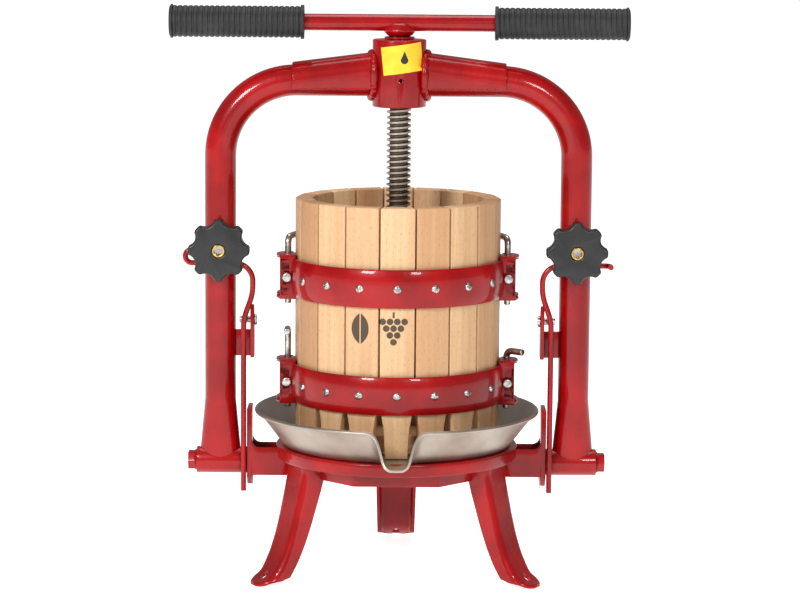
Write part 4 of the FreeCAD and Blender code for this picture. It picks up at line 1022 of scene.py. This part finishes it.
def hoop(name, z, half_turn, *stands_for):
    band = band_half(name, z)
    applied(band, "MIRROR", use_axis=(True, False, False), merge_threshold=0.00005)
    shaped(band, "polygons", every, lambda: bpy.ops.mesh.remove_doubles(threshold=0.00001))
    shaped(band, "polygons", every, lambda: bpy.ops.mesh.normals_make_consistent(inside=False))
    if sum(f.normal.dot(Vector((f.center.x, f.center.y, 0))) * f.area for f in band.data.polygons) < 0:
        shaped(band, "polygons", every, bpy.ops.mesh.flip_normals)
    applied(band, "SOLIDIFY", thickness=BAND_T, offset=0.0, use_even_offset=True)
    applied(band, "BEVEL", width=0.0006, segments=3, limit_method="ANGLE", angle_limit=math.radians(60),
            use_clamp_overlap=False)
    smoothed(band, 45)
    band.data.transform(Matrix.Rotation(half_turn, 4, "Z"))
    fitted(band, enamel, "basket", "red_enamel", *stands_for)


hoop_zs = []
for level in ("upper", "lower"):
    low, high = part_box("hoop_%s_front" % level)
    z = (low.z + high.z) / 2
    hoop_zs.append(z)
    hoop("hoop_%s_front_band" % level, z, 0.0, "hoop_%s_front" % level)
    hoop("hoop_%s_rear_band" % level, z, math.pi, "hoop_%s_rear" % level)


# Stave screws -------------------------------------------------------------------------------
# Bright domed screws with cross recesses hold the staves to both bands, apart from the end ones.

SCREW_HEAD_R = 0.0037
HEAD_RISE = 0.0021
SLOT_LENGTH, SLOT_DEPTH, SLOT_WIDTH = 0.0042, 0.0026, 0.0012
seat_y = -(BAND_MID_R + BAND_T / 2 + BAND_CROWN - 0.0003)
cross_screw = added("cross_screw", bpy.ops.mesh.primitive_uv_sphere_add, segments=28, ring_count=14,
                    radius=1.0, rotation=(math.pi / 2, 0, 0), location=(0, seat_y, 0),
                    scale=(SCREW_HEAD_R, SCREW_HEAD_R, HEAD_RISE))
shaped(cross_screw, "polygons", every,
       lambda: bpy.ops.mesh.bisect(plane_co=(0, seat_y + 0.0003, 0), plane_no=(0, 1, 0), clear_outer=True,
                                   use_fill=True))
slots = added("slots", bpy.ops.mesh.primitive_cube_add, size=1.0, location=(0, seat_y - 0.0017, 0),
              scale=(SLOT_LENGTH, SLOT_DEPTH, SLOT_WIDTH))
upright_slot = added("upright_slot", bpy.ops.mesh.primitive_cube_add, size=1.0,
                     location=(0, seat_y - 0.0017, 0), scale=(SLOT_WIDTH, SLOT_DEPTH, SLOT_LENGTH))
for cutter in (slots, upright_slot):
    applied(cross_screw, "BOOLEAN", operation="DIFFERENCE", object=cutter, solver="EXACT")
    bpy.data.objects.remove(cutter)
smoothed(cross_screw, 35)
screw_turns = [STAVE_STEP * (k - 4) for k in range(1, 8)]
driver = random.Random(3)
for row, half_turn in (("front", 0.0), ("rear", math.pi)):
    for level, z in zip(("upper", "lower"), hoop_zs):
        for k, turn in enumerate(screw_turns):
            name = "stave_screw_%s_%s_%d" % (row, level, k + 1)
            piece = bpy.data.objects.new(name, cross_screw.data.copy())
            scene.collection.objects.link(piece)
            piece.data.transform(Matrix.Rotation(half_turn + turn, 4, "Z") @ Matrix.Translation((0, 0, z))
                                 @ Matrix.Rotation(driver.uniform(0, 1.5), 4, "Y"))
            stands_for = ("stave_screws_" + row,) if (level, k) == ("upper", 0) else ()
            fitted(piece, zinc_plate, "basket", "zinc_steel", *stands_for)
bpy.data.objects.remove(cross_screw)


# Hinge brackets and pins --------------------------------------------------------------------
# Folded brackets are bolted to the bands' flanges. Bent steel pins drop through their ears and
# hold the two halves together.

softened("brackets_upper", enamel, "basket", "red_enamel", 0.0007)
softened("brackets_lower", enamel, "basket", "red_enamel", 0.0007)
softened("bracket_bolts", zinc_plate, "basket", "zinc_steel", 0.0011)
softened("bracket_nuts", zinc_plate, "basket", "zinc_steel", 0.0004)
for corner in ("upper_left", "upper_right", "lower_left", "lower_right"):
    softened("hinge_pin_" + corner, zinc_plate, "pin_" + corner, "zinc_steel", 0.0010, 50)
